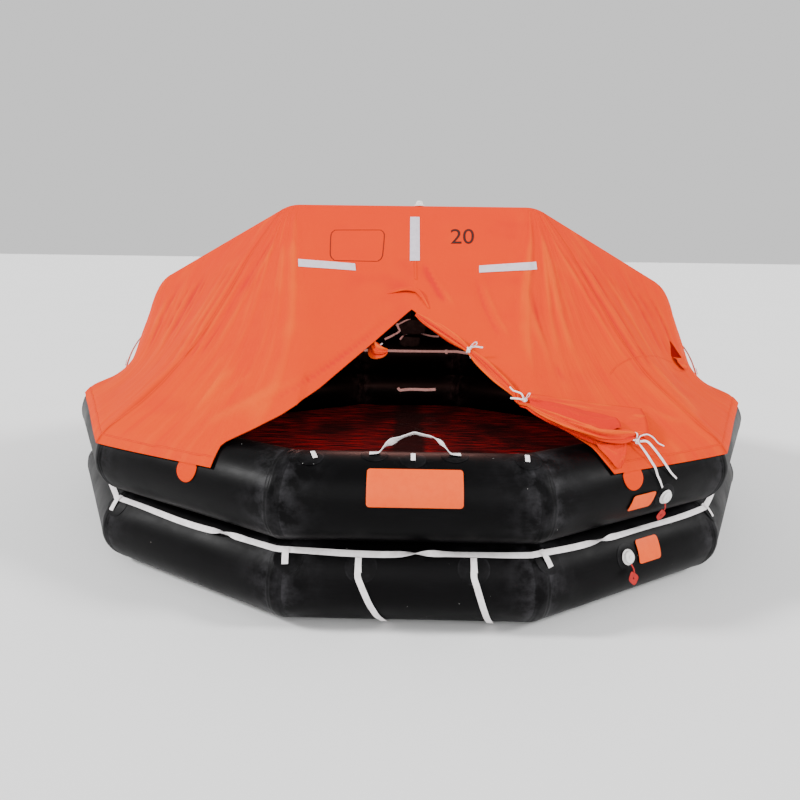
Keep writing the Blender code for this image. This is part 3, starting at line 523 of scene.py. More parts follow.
def canopy_column(side, share, distance, rise, hem_angle):
    """One line of the canopy's front right quarter, from the ridge over the arch, down to the hem.

    Rise is how many degrees higher than a taut line the cloth lands on the tube, in a hollow curve.
    """
    centre, normal, _ = arch_at(distance)
    reach = ARCH_RADIUS + ARCH_EASE + CLOTH_LIFT
    target = hem_point(side, share, hem_angle + 15.0, CLOTH_LIFT)
    wrap = arch_wrap(centre, normal, target, reach)
    start = centre + (normal * math.cos(wrap) + FRONT * math.sin(wrap)) * reach
    landing = landing_angle(start, side, share, CLOTH_LIFT, hem_angle) + rise
    end = hem_point(side, share, landing, CLOTH_LIFT)
    wrap = arch_wrap(centre, normal, end, reach)
    points = []
    for i in range(WRAP_ROWS + 1):
        angle = wrap * i / WRAP_ROWS
        points.append(centre + (normal * math.cos(angle) + FRONT * math.sin(angle)) * reach)
    start = points[-1]
    further = hem_point(side, share, landing - 0.5, CLOTH_LIFT)
    pull = (end - start).length * 0.36
    first, second = start + (end - start).normalized() * pull, end - (further - end).normalized() * pull
    for i in range(1, SPAN_ROWS + 1):
        t = i / SPAN_ROWS
        points.append(start * (1 - t) ** 3 + first * 3 * t * (1 - t) ** 2 + second * 3 * t * t * (1 - t) + end * t ** 3)
    for i in range(1, HEM_ROWS + 1):
        points.append(hem_point(side, share, landing + (hem_angle - landing) * i / HEM_ROWS, CLOTH_LIFT))
    points[0].y = 0.0
    return points


def arch_wrap(centre, normal, target, reach):
    """How far round the arch the cloth lies before it leaves for the target."""
    rise, away = (target - centre).dot(normal), (target - centre).dot(FRONT)
    wrap = math.atan2(away, rise) - math.acos(min(1.0, reach / math.hypot(away, rise)))
    return max(wrap, math.radians(2.0))


# Where columns stand: side, share of half a side, distance along the arch, rise, hem angle, columns between
COLUMN_KEYS = (
    (0, 0.0, 0.0, 2.0, 33, 0),
    (0, 1.0, RIDGE_BEND[0], 3.0, 35.5, 36),
    (1, 1.0, RIDGE_BEND[1], 7.0, 28, 46),
    (2, 0.5, SHOULDER_BEND[0], 24.0, 35, 36),
    (2, 1.0, sum(SHOULDER_BEND) / 2, 32.0, 37, 14),
    (3, -0.6, SHOULDER_BEND[1], 30.0, 37, 14),
    (3, 0.0, ARCH_END, 0.0, 37, 16),
)
SEAM_COLUMN = 36 + 46


def quarter_columns():
    columns = [canopy_column(*COLUMN_KEYS[0][:5])]
    for before, key in zip(COLUMN_KEYS, COLUMN_KEYS[1:]):
        side, share, distance, rise, hem_angle, count = key
        first_share = before[1] if before[0] == side else -1.0
        for i in range(1, count + 1):
            part = i / count
            ease = part * part * (3 - 2 * part)
            place = first_share + (share - first_share) * part, before[2] + (distance - before[2]) * part
            hang = before[3] + (rise - before[3]) * ease, before[4] + (hem_angle - before[4]) * ease
            columns.append(canopy_column(side, *place, *hang))
    return np.array([[tuple(p) for p in column] for column in columns])


QUARTER = quarter_columns()
COLUMNS, ROWS = QUARTER.shape[:2]


def half_canopy(to_rear):
    """Grid of points of the front or rear half, from the -X side to the +X side, eased across its columns."""
    left = QUARTER[:0:-1] * (-1, 1, 1)
    grid = np.concatenate([left, QUARTER])
    weights = np.exp(-(np.arange(-EASE_COLUMNS, EASE_COLUMNS + 1) / (EASE_COLUMNS * 0.5)) ** 2)
    padded = np.pad(grid, ((EASE_COLUMNS, EASE_COLUMNS), (0, 0), (0, 0)), "reflect", reflect_type="odd")
    eased = sum(w * padded[k:k + len(grid)] for k, w in enumerate(weights)) / weights.sum()
    span = (np.arange(ROWS) - WRAP_ROWS) / SPAN_ROWS
    share = (smoothstep(0.06, 0.30, span) * (1 - smoothstep(0.70, 0.92, span)))[None, :, None]
    grid = grid + (eased - grid) * share
    return grid * (1, -1, 1) if to_rear else grid


def grid_normals(grid, to_rear):
    across = np.gradient(grid, axis=0)
    down = np.gradient(grid, axis=1)
    normals = np.cross(down, across)
    normals /= np.linalg.norm(normals, axis=2, keepdims=True) + 1e-12
    return -normals if to_rear else normals


def curve_points(points, count=28):
    """Points along a straight line, or along a curve that passes near the middle of three points."""
    if len(points) == 2:
        return [Vector(points[0]).lerp(Vector(points[1]), i / count) for i in range(count + 1)]
    a, b, c = (Vector(p) for p in points)
    b = 2 * b - (a + c) / 2
    return [a * (1 - t) ** 2 + b * 2 * t * (1 - t) + c * t * t for t in (i / count for i in range(count + 1))]


def crease(grid, points, width, height, skew=0.35):
    """Height field of a soft fold along a curve of (x, z) points as seen from the front."""
    path = np.array([tuple(p) for p in curve_points(points)])
    x, z = grid[..., 0].ravel(), grid[..., 2].ravel()
    off = np.full(x.shape, 9.0)
    part = np.zeros(x.shape)
    for i, (a, b) in enumerate(zip(path, path[1:])):
        step = b - a
        along = ((x - a[0]) * step[0] + (z - a[1]) * step[1]) / (step @ step)
        held = np.clip(along, 0, 1)
        dx, dz = x - a[0] - held * step[0], z - a[1] - held * step[1]
        away = np.hypot(dx, dz) * np.sign(dx * step[1] - dz * step[0] + 1e-12)
        nearer = np.abs(away) < np.abs(off)
        off = np.where(nearer, away, off)
        part = np.where(nearer, (i + held) / (len(path) - 1), part)
    reach = np.where(off > 0, width * (1 + skew), width * (1 - skew))
    ends = smoothstep(0.0, 0.3, part) * (1 - smoothstep(0.72, 1.0, part))
    return (height * np.exp(-(off / reach) ** 2) * ends).reshape(grid.shape[:2])


def smooth_noise(grid, scale, seed):
    shift = Vector((seed * 13.7, seed * 5.1, seed * 7.3))
    flat = grid.reshape(-1, 3) * scale
    return np.array([noise.noise(Vector(p) + shift) for p in flat]).reshape(grid.shape[:2])


# Creases that run along the left edge of the entrance: (x, z) points, half width, height
EDGE_CREASES = (
    (((-0.03, 1.160), (-0.365, 0.912), (-0.72, 0.742)), 0.010, -0.0050),
    (((-0.05, 1.176), (-0.360, 0.934), (-0.70, 0.768)), 0.013, 0.0032),
)
# Fans of folds on the front: the first and last fold's (x, z) points, how many, half width, height, a sign of -1
# for hollows; all seen from the front, in metres
FOLD_FANS = (
    (((-0.69, 1.60), (-0.84, 1.18), (-0.98, 0.74)), ((-1.38, 1.20), (-1.43, 1.02), (-1.46, 0.82)), 13, 0.0095, 0.0058),
    (((0.74, 1.60), (0.92, 1.15), (1.08, 0.74)), ((1.38, 1.20), (1.45, 1.02), (1.46, 0.84)), 13, 0.0095, 0.0058),
    (((-0.72, 1.59), (-0.88, 1.17), (-1.03, 0.74)), ((-1.34, 1.22), (-1.40, 1.02), (-1.44, 0.80)), 9, 0.0085, -0.0062),
    (((0.77, 1.59), (0.95, 1.14), (1.12, 0.74)), ((1.35, 1.22), (1.43, 1.02), (1.44, 0.80)), 9, 0.0085, -0.0062),
    (((-0.88, 0.67), (-0.74, 0.76), (-0.50, 0.87)), ((-0.96, 0.69), (-0.93, 0.83), (-0.79, 1.04)), 4, 0.014, 0.0060),
    (((1.00, 0.78), (1.10, 0.72), (1.30, 0.66)), ((1.12, 0.92), (1.22, 0.78), (1.34, 0.66)), 3, 0.014, 0.0055),
    (((0.05, 1.37), (0.11, 1.25), (0.19, 1.13)), ((0.545, 1.26), (0.56, 1.03), (0.64, 0.86)), 3, 0.013, -0.0068),
    (((0.08, 1.38), (0.15, 1.24), (0.24, 1.11)), ((0.60, 1.26), (0.62, 1.03), (0.70, 0.86)), 3, 0.014, 0.0060),
)


def fan_curves(first, last, count, rng):
    """Curves evenly between two, each shifted a little along the fan."""
    first, last = np.array(first), np.array(last)
    for i in range(count):
        part = (i + rng.uniform(-0.3, 0.3)) / (count - 1)
        start, end = 0.14 * rng.random(), 0.22 * rng.random()
        curve = first + (last - first) * part
        top, middle, low = curve
        yield top + (middle - top) * start, middle, low + (middle - low) * end


def fan_folds(grid, seed, spread):
    """Folds that fan from the ridge's corners along the columns, at columns drawn from the seed."""
    rng = random.Random(seed)
    field = np.zeros(grid.shape[:2])
    centre = (grid.shape[0] - 1) / 2
    columns = np.abs(np.arange(grid.shape[0]) - centre)
    sign = np.sign(np.arange(grid.shape[0]) - centre)
    part = np.linspace(0, 1, grid.shape[1])[None, :]
    for hand in (-1, 1):
        for _ in range(spread):
            place = rng.uniform(30, COLUMNS - 14)
            width = rng.uniform(0.9, 2.6)
            height = rng.uniform(0.0025, 0.006)
            top, low = rng.uniform(0.05, 0.3), rng.uniform(0.6, 0.97)
            lean = rng.uniform(-6, 6)
            off = columns[:, None] - place - lean * part
            skew = np.where(off > 0, width * 1.5, width * 0.7)
            envelope = smoothstep(top - 0.08, top + 0.12, part) * (1 - smoothstep(low - 0.2, low, part))
            field += np.where(sign[:, None] == hand, 1, 0) * height * np.exp(-(off / skew) ** 2) * envelope
    return field


# The open entrance's edge from the apex down each side, then its hem's sides, as (x, z) seen from the front
APEX = (0.002, 1.132)
LEFT_EDGE = (APEX, (-0.18, 0.995), (-0.373, 0.850), (-0.516, 0.765), (-0.618, 0.716), (-0.735, 0.662))
RIGHT_EDGE = (APEX, (0.232, 0.982), (0.335, 0.898), (0.440, 0.815), (0.526, 0.766), (0.585, 0.738), (0.641, 0.708), (0.706, 0.672))
LEFT_CORNER = ((-0.735, 0.662), (-0.785, 0.50))
RIGHT_CORNER = ((0.706, 0.672), (0.800, 0.560))


# The lookout hole's corners, as (x, z) seen from the front
LOOKOUT = ((1.442, 0.938), (1.400, 0.862), (1.500, 0.846))


def outside_entrance(x, z):
    """Above zero on the canopy, below zero in the entrance."""
    if x < 0:
        edge, corner = LEFT_EDGE, LEFT_CORNER
    else:
        edge, corner = RIGHT_EDGE, RIGHT_CORNER
    ends = sorted((abs(px), pz) for px, pz in edge)
    (cx, cz), (dx, dz) = corner
    above = z - float(np.interp(abs(x), [e[0] for e in ends], [e[1] for e in ends]))
    side = abs(x) - (abs(cx) + (abs(dx) - abs(cx)) * (cz - z) / (cz - dz))
    if z > cz:
        return above
    return max(side, above) if abs(x) < abs(cx) else side


def clip(obj, keep):
    """Cuts an open sheet along the line where keep(x, z) is zero, leaving where it is above zero."""
    work = bmesh.new()
    work.from_mesh(obj.data)
    values = {v: keep(v.co.x, v.co.z) for v in work.verts}
    for v, value in values.items():
        if abs(value) < 1e-5:
            values[v] = 0.0
    cuts = set()
    for edge in list(work.edges):
        a, b = edge.verts
        if values[a] * values[b] < 0:
            part = values[a] / (values[a] - values[b])
            _, made = bmesh.utils.edge_split(edge, a, part)
            values[made] = 0.0
            cuts.add(made)
    for face in list(work.faces):
        zero = [v for v in face.verts if values[v] == 0.0]
        if len(zero) == 2 and len({values[v] > 0 for v in face.verts if values[v] != 0.0}) == 2:
            try:
                bmesh.utils.face_split(face, *zero)
            except ValueError:
                continue
    gone = [f for f in work.faces if sum(values[v] for v in f.verts) < 0]
    bmesh.ops.delete(work, geom=gone, context="FACES")
    work.to_mesh(obj.data)
    work.free()


def sheet_faces(columns, rows, flip):
    faces = []
    for c in range(columns - 1):
        for r in range(rows - 1):
            a, b = c * rows + r, (c + 1) * rows + r
            faces.append((a, b, b + 1, a + 1) if flip else (a, a + 1, b + 1, b))
    return faces


def thicken(obj, thickness, inner=0):
    """Gives a sheet its thickness inwards, with a crisp rim."""
    work = bmesh.new()
    work.from_mesh(obj.data)
    for edge in work.edges:
        if edge.is_boundary:
            edge.smooth = False
    work.to_mesh(obj.data)
    work.free()
    solid = obj.modifiers.new("thickness", "SOLIDIFY")
    solid.thickness = thickness
    solid.offset = -1.0
    solid.use_even_offset = True
    solid.material_offset = inner
    return obj


def seam_field(grid):
    """High along the two panel seams' columns."""
    centre = (grid.shape[0] - 1) // 2
    field = np.zeros(grid.shape[:2])
    for column in (centre - SEAM_COLUMN, centre + SEAM_COLUMN):
        field[column] = 0.5
    return field


def canopy_heights(grid, to_rear):
    down = np.linalg.norm(np.diff(grid, axis=1), axis=2)
    run = np.concatenate([np.zeros((grid.shape[0], 1)), np.cumsum(down, axis=1)], axis=1)
    part = run / run[:, -1:]
    left = run[:, -1:] - run
    heights = 0.0045 * smooth_noise(grid, 3.6, 1 + to_rear) + 0.0022 * smooth_noise(grid, 9.5, 3 + to_rear)
    heights += fan_folds(grid, 11 + to_rear, 9)
    if not to_rear:
        rng = random.Random(17)
        for first, last, count, width, height in FOLD_FANS:
            for points in fan_curves(first, last, count, rng):
                heights += crease(grid, points, width * rng.uniform(0.75, 1.4), height * rng.uniform(0.6, 1.3))
        for points, width, height in EDGE_CREASES:
            heights += crease(grid, points, width, height)
    free = smoothstep(0.06, 0.22, run) * smoothstep(0.10, 0.24, left)
    heights = heights * free
    if to_rear:
        off = np.array([outside_entrance(x, z) for x, z in grid[..., (0, 2)].reshape(-1, 2)]).reshape(heights.shape)
        calm = np.maximum(smoothstep(0.004, 0.080, np.abs(off)), smoothstep(0.72, 0.86, np.abs(grid[..., 0])))
        heights = heights * calm
    pleat = np.exp(-((grid[..., 0] - 0.018) / 0.010) ** 2) * 0.004 * smoothstep(0.02, 0.12, run)
    heights += pleat * (0.4 + 0.6 * (1 - part))
    hem = smoothstep(0.045, 0.040, left)
    heights += 0.0012 * hem
    return heights, left, run


def make_canopy_half(name, to_rear, keep):
    grid = half_canopy(to_rear)
    normals = grid_normals(grid, to_rear)
    heights, left, run = canopy_heights(grid, to_rear)
    placed = grid + normals * heights[..., None]
    seam = seam_field(grid) + 0.15 * np.exp(-((left - 0.042) / 0.003) ** 2)
    sheet = cloth_mesh(name, placed.reshape(-1, 3), sheet_faces(*grid.shape[:2], to_rear))
    attribute(sheet, "seam", seam)
    # Painted shade in the crease hollows, painted highlight on the crease crests.
    attribute(sheet, "fold", 0.9 * smoothstep(0.0006, 0.0070, -heights))
    attribute(sheet, "painted_highlight", 0.52 * smoothstep(0.0015, 0.0085, heights) * smoothstep(0.15, 0.45, run))
    hem = grid[:, -1]
    reach = np.concatenate([[0], np.cumsum(np.linalg.norm(np.diff(hem, axis=0), axis=1))])
    attribute(sheet, "across", np.repeat(reach[:, None] / CREASE_PITCH, grid.shape[1], axis=1))
    attribute(sheet, "down", run / CREASE_LENGTH + 0.1)
    attribute(sheet, "slack", smoothstep(0.40, 0.80, np.abs(grid[..., 0])))
    clip(sheet, keep)
    thicken(sheet, CLOTH_THICKNESS, 1)
    return sheet, placed


def lookout_hole(x, z):
    """Above zero outside the triangular lookout hole, below zero in it."""
    sides = zip(LOOKOUT, LOOKOUT[1:] + LOOKOUT[:1])
    return max(((x - ax) * (bz - az) - (z - az) * (bx - ax)) / math.hypot(bx - ax, bz - az) for (ax, az), (bx, bz) in sides)


def front_cut(x, z):
    return min(outside_entrance(x, z), lookout_hole(x, z))


def make_canopy():
    front, placed = make_canopy_half("canopy_front", False, front_cut)
    give(front, CANOPY, "canopy", INSIDE_PAINTED_SHADE)
    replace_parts(front, "canopy_front_left", "canopy_front_right", "canopy_side_front_left", "canopy_side_front_right")
    rear, behind = make_canopy_half("canopy_rear", True, outside_entrance)
    give(rear, CANOPY, "canopy", INSIDE_PAINTED_SHADE)
    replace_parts(rear, "canopy_rear_left", "canopy_rear_right", "canopy_side_rear_left", "canopy_side_rear_right")
    return (front, placed), (rear, behind)


def make_rear_doors(behind):
    """Two door sheets that close the rear entrance from inside, meeting in the middle."""
    normals = grid_normals(half_canopy(True), True)
    doors = []
    for hand, sign in (("left", -1), ("right", 1)):
        inset = behind - normals * 0.0046
        door = cloth_mesh(f"rear_door_sheet_{hand}", inset.reshape(-1, 3), sheet_faces(*behind.shape[:2], True))
        attribute(door, "fold", np.zeros(behind.shape[:2]))
        attribute(door, "painted_highlight", np.zeros(behind.shape[:2]))
        attribute(door, "seam", np.zeros(behind.shape[:2]))
        clip(door, lambda x, z: min(sign * x - 0.0006, 0.035 - outside_entrance(x, z)))
        thicken(door, 0.002, 1)
        give(door, CANOPY, "canopy", INSIDE_PAINTED_SHADE)
        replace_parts(door, f"rear_door_{hand}")
        doors.append(door)
    return doors


# Tubes

def seam_distances(half):
    """Distances from a mitre at which the tube's rings of vertices stand, from the mitre to the side's middle."""
    near = [0.0, 0.004, 0.009, 0.0150, 0.0165, 0.022, 0.0285, 0.0300, 0.036, 0.046, 0.062, 0.085, 0.12, 0.17]
    rest = [half - (half - 0.17) * i / 8 for i in range(8)]
    return near + rest[:0:-1] + [half]


def make_tube(name, centre_z, low, high, around, seed):
    """A mitred ring tube with seam tapes at its corners and small puckers beside them."""
    half = APOTHEM * HALF_SIDE
    near = seam_distances(half)
    places = [-(half - d) for d in near] + [half - d for d in near[-2::-1]]
    rng = random.Random(seed)
    points, wear = [], []
    for side in range(SIDES):
        normal, tangent = side_frame(side)
        phases = [rng.uniform(0, 6.28) for _ in range(6)]
        for along in places[:-1]:
            off = half - abs(along)
            end = phases[:3] if along < 0 else phases[3:]
            for i in range(around):
                angle = 2 * math.pi * i / around
                tape = 0.0010 * (off < 0.0155) + 0.0009 * (off < 0.0295)
                pinch = 0.003 * math.exp(-off / 0.010)
                ripple = 0.0016 * math.exp(-off / 0.05) * (1 - math.exp(-off / 0.012))
                ripple *= math.sin(9 * angle + end[0]) + 0.6 * math.sin(17 * angle + end[1])
                reach = TUBE_RADIUS - 0.0012 + tape - pinch + ripple
                rise = min(max(reach * math.sin(angle), -low), high)
                out = APOTHEM + reach * math.cos(angle)
                points.append(normal * out + tangent * (along * out / APOTHEM) + UP * (centre_z + rise))
                wear.append(math.exp(-max(0.0, off - 0.030) / 0.05) * 0.8 if off > 0.029 else 0.35)
    rings = len(points) // around
    faces = []
    for r in range(rings):
        for i in range(around):
            j = (i + 1) % around
            a, b = r * around, (r + 1) % rings * around
            faces.append((a + i, b + i, b + j, a + j))
    tube = cloth_mesh(name, points, faces)
    attribute(tube, "wear", wear)
    return tube


def make_tubes():
    contact = UPPER_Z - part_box("upper_tube")[0].z
    lower = make_tube("lower_tube_skin", LOWER_Z, LOWER_Z, contact, 72, 3)
    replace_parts(give(lower, RUBBER, "rubber"), "lower_tube")
    upper = make_tube("upper_tube_skin", UPPER_Z, contact, TUBE_RADIUS, 72, 4)
    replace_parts(give(upper, RUBBER, "rubber"), "upper_tube")


# Small builders

def smooth_path(points, spacing):
    """Evenly spaced points along a Catmull-Rom curve through these points."""
    full = [Vector(p) for p in points]
    full = [2 * full[0] - full[1]] + full + [2 * full[-1] - full[-2]]
    fine = []
    for a, b, c, d in zip(full, full[1:], full[2:], full[3:]):
        for i in range(12):
            t = i / 12
            fine.append(0.5 * (2 * b + (c - a) * t + (2 * a - 5 * b + 4 * c - d) * t * t + (3 * b - a - 3 * c + d) * t ** 3))
    fine.append(full[-2])
    runs = [0.0]
    for a, b in zip(fine, fine[1:]):
        runs.append(runs[-1] + (b - a).length)
    count = max(2, round(runs[-1] / spacing))
    made, k = [], 0
    for i in range(count + 1):
        want = runs[-1] * i / count
        while k < len(runs) - 2 and runs[k + 1] < want:
            k += 1
        part = (want - runs[k]) / max(1e-9, runs[k + 1] - runs[k])
        made.append(fine[k].lerp(fine[k + 1], min(1.0, part)))
    return made


def uv_layer(mesh, places):
    layer = mesh.uv_layers.new(name="metres")
    for loop in mesh.loops:
        layer.data[loop.index].uv = places[loop.vertex_index]


def ribbon(name, centres, widthwise, width, thickness, closed=False):
    """A woven tape along centres, its width along the matching direction of widthwise, as one closed mesh."""
    count = len(centres)
    section = ((-0.5, 0.3), (-0.45, 0.5), (0.45, 0.5), (0.5, 0.3), (0.5, -0.3), (0.45, -0.5), (-0.45, -0.5), (-0.5, -0.3))
    size = len(section)
    points, places, run = [], [], 0.0
    for i in range(count):
        before = centres[i - 1] if i or closed else centres[i]
        after = centres[(i + 1) % count] if i < count - 1 or closed else centres[i]
        ahead = (after - before).normalized()
        side = widthwise[i] - ahead * widthwise[i].dot(ahead)
        side.normalize()
        face = side.cross(ahead)
        run += (centres[i] - centres[i - 1]).length if i else 0.0
        for across, up in section:
            points.append(centres[i] + side * across * width + face * up * thickness)
            places.append((run, across * width))
    faces = []
    for i in range(count if closed else count - 1):
        a, b = i * size, (i + 1) % count * size
        faces += [(a + k, b + k, b + (k + 1) % size, a + (k + 1) % size) for k in range(size)]
    if not closed:
        faces += [tuple(range(size)), tuple(range(len(points) - 1, len(points) - size - 1, -1))]
    obj = cloth_mesh(name, points, faces)
    obj.data.set_sharp_from_angle(angle=math.radians(50))
    uv_layer(obj.data, places)
    return obj


def tube_along(name, centres, radius, around=12, radii=None):
    """A round tube along centres with closed, flat ends."""
    points, faces = [], []
    ahead = (centres[1] - centres[0]).normalized()
    side = ahead.orthogonal().normalized()
    for i, centre in enumerate(centres):
        turned = (centres[min(i + 1, len(centres) - 1)] - centres[max(i - 1, 0)]).normalized()
        side = (side - turned * side.dot(turned)).normalized()
        up = turned.cross(side)
        r = radius * (radii[i] if radii else 1.0)
        for k in range(around):
            angle = 2 * math.pi * k / around
            points.append(centre + (side * math.cos(angle) + up * math.sin(angle)) * r)
    for i in range(len(centres) - 1):
        a, b = i * around, (i + 1) * around
        faces += [(a + k, a + (k + 1) % around, b + (k + 1) % around, b + k) for k in range(around)]
    faces.append(tuple(range(around - 1, -1, -1)))
    faces.append(tuple(range(len(points) - around, len(points))))
    obj = cloth_mesh(name, points, faces)
    obj.data.set_sharp_from_angle(angle=math.radians(50))
    return obj


def lathe(name, outline, place, axis, steps=40, ribs=0, rib_depth=0.0):
    """A turned piece: (radius, height) from the top down; ribs ripple the parts marked with a third value."""
    points, faces = [], []
    turn = UP.rotation_difference(Vector(axis)).to_matrix()
    rings = []
    for row in outline:
        radius, height, rib = (*row, 0)[:3]
        if radius == 0:
            rings.append([len(points)])
            points.append(Vector(place) + turn @ Vector((0, 0, height)))
            continue
        ring = []
        for k in range(steps):
            angle = 2 * math.pi * k / steps
            r = radius + rib * rib_depth * math.cos(ribs * angle)
            ring.append(len(points))
            points.append(Vector(place) + turn @ Vector((r * math.cos(angle), r * math.sin(angle), height)))
        rings.append(ring)
    for high, low in zip(rings, rings[1:]):
        for k in range(steps):
            j = (k + 1) % steps
            if len(high) == 1:
                faces.append((high[0], low[k], low[j]))
            elif len(low) == 1:
                faces.append((high[k], low[0], high[j]))
            else:
                faces.append((high[k], low[k], low[j], high[j]))
    obj = cloth_mesh(name, points, faces)
    obj.data.set_sharp_from_angle(angle=math.radians(38))
    return obj


def join(name, pieces):
    """One object made of several, each keeping its material."""
    with bpy.context.temp_override(active_object=pieces[0], selected_editable_objects=pieces, selected_objects=pieces):
        bpy.ops.object.join()
    pieces[0].name = name
    return pieces[0]


def coloured(obj, surface):
    obj.data.materials.clear()
    obj.data.materials.append(surface)
    return obj


# Pieces on the canopy

def sheet_tree(grid):
    columns, rows = grid.shape[:2]
    return BVHTree.FromPolygons([tuple(p) for p in grid.reshape(-1, 3)], sheet_faces(columns, rows, False))


def on_sheet(tree, x, z, lift=0.0, rear=False):
    """A point lift above the canopy where (x, z) shows from the front, or from the rear, and the outward normal."""
    def place(dx, dz):
        sign = -1 if rear else 1
        found = tree.ray_cast(Vector((x + dx, -5 * sign, z + dz)), Vector((0, sign, 0)))[0]
        if found is None:
            raise ValueError(f"no canopy at x {x:.3f} z {z:.3f}")
        return found
    step = 0.006
    across = place(step, 0) - place(-step, 0)
    rise = place(0, step) - place(0, -step)
    normal = across.cross(rise).normalized()
    if (normal.y > 0) != rear:
        normal = -normal
    return place(0, 0) + normal * lift, normal


def even_rows(rows, spacing):
    """Rows of numbers along a smooth curve, spaced by the first two of them."""
    rows = [np.array(r, float) for r in rows]
    full = [2 * rows[0] - rows[1]] + rows + [2 * rows[-1] - rows[-2]]
    fine = []
    for a, b, c, d in zip(full, full[1:], full[2:], full[3:]):
        for t in (i / 10 for i in range(10)):
            fine.append(0.5 * (2 * b + (c - a) * t + (2 * a - 5 * b + 4 * c - d) * t * t + (3 * b - a - 3 * c + d) * t ** 3))
    fine = np.array(fine + [full[-2]])
    runs = np.concatenate([[0], np.cumsum(np.linalg.norm(np.diff(fine[:, :2], axis=0), axis=1))])
    wanted = np.linspace(0, runs[-1], max(3, round(runs[-1] / spacing)))
    return np.stack([np.interp(wanted, runs, fine[:, k]) for k in range(fine.shape[1])], axis=1)


def laid_ribbon(name, tree, places, width, thickness, lift, rear=False, spacing=0.012, closed=False):
    """A tape laid flat on the canopy along (x, z) places."""
    centres, normals = [], []
    rows = even_rows(places, spacing)
    for x, z in rows[:-1] if closed else rows:
        place, normal = on_sheet(tree, x, z, lift, rear)
        centres.append(place)
        normals.append(normal)
    across = []
    for i, normal in enumerate(normals):
        ahead = centres[(i + 1) % len(centres)] - centres[i] if closed or i < len(centres) - 1 else centres[i] - centres[i - 1]
        across.append(normal.cross(ahead.normalized()))
    return ribbon(name, centres, across, width, thickness, closed)


def laid_sheet(name, tree, corners, columns, rows, lift, thickness):
    """A four-cornered sheet laid on the canopy, its corners (x, z) from top left clockwise."""
    top_left, top_right, low_right, low_left = (np.array(c) for c in corners)
    points = []
    for c in range(columns + 1):
        for r in range(rows + 1):
            u, v = c / columns, r / rows
            x, z = (top_left * (1 - u) + top_right * u) * (1 - v) + (low_left * (1 - u) + low_right * u) * v
            points.append(on_sheet(tree, x, z, lift + thickness)[0])
    return thicken(cloth_mesh(name, points, sheet_faces(columns + 1, rows + 1, False)), thickness)


def bundle(name, tree, stations, seed, folds=((3, 0.24, 4.0), (6, 0.19, -6.0), (10, 0.11, 9.0)), around=72, spacing=0.007, red=0.75, overall_painted_shade=0.0):
    """Cloth gathered along stations of (x, z, half width, depth, lift), folded lengthwise.

    Painted shade: its underside is redder by red, and all of it by the last amount; the hollows of its folds are darker
    red as painted shade and their crests lighter as painted highlight.
    """
    rng = random.Random(seed)
    rows = even_rows(stations, spacing)
    phases = [rng.uniform(0, 6.28) for _ in folds]
    points, fold, underside_painted_shade = [], [], []
    places = [on_sheet(tree, x, z) for x, z, *_ in rows]
    for i, (x, z, half, depth, lift) in enumerate(rows):
        place, normal = places[i]
        ahead = (places[min(i + 1, len(rows) - 1)][0] - places[max(i - 1, 0)][0]).normalized()
        side = normal.cross(ahead).normalized()
        for k in range(around):
            angle = 2 * math.pi * k / around
            swell = sum(h * math.sin(n * angle + phase + turn * i * spacing) for (n, h, turn), phase in zip(folds, phases))
            swell += 0.10 * noise.noise(Vector((i * spacing * 22, math.cos(angle) * 2, math.sin(angle) * 2 + seed)))
            bulge = 1 + swell
            off = side * (half * math.cos(angle) * bulge) + normal * (lift + depth * (0.5 + 0.5 * math.sin(angle) * bulge))
            points.append(place + off)
            fold.append(swell)
            underside_painted_shade.append(-(side.z * math.cos(angle) + normal.z * math.sin(angle)))
    faces = []
    for i in range(len(rows) - 1):
        a, b = i * around, (i + 1) * around
        faces += [(a + k, a + (k + 1) % around, b + (k + 1) % around, b + k) for k in range(around)]
    faces.append(tuple(range(around - 1, -1, -1)))
    faces.append(tuple(range(len(points) - around, len(points))))
    roll = cloth_mesh(name, points, faces)
    # Painted shade in the hollows of the folds and underneath, painted highlight on the crests.
    fold = np.array(fold)
    underside_painted_shade = red * smoothstep(-0.1, 0.7, np.array(underside_painted_shade))
    attribute(roll, "fold", np.maximum(0.95 * smoothstep(-0.02, -0.28, fold), np.maximum(underside_painted_shade, overall_painted_shade)))
    attribute(roll, "painted_highlight", 0.7 * smoothstep(0.10, 0.35, fold) * (1 - underside_painted_shade))
    attribute(roll, "seam", np.zeros(len(fold)))
    return roll


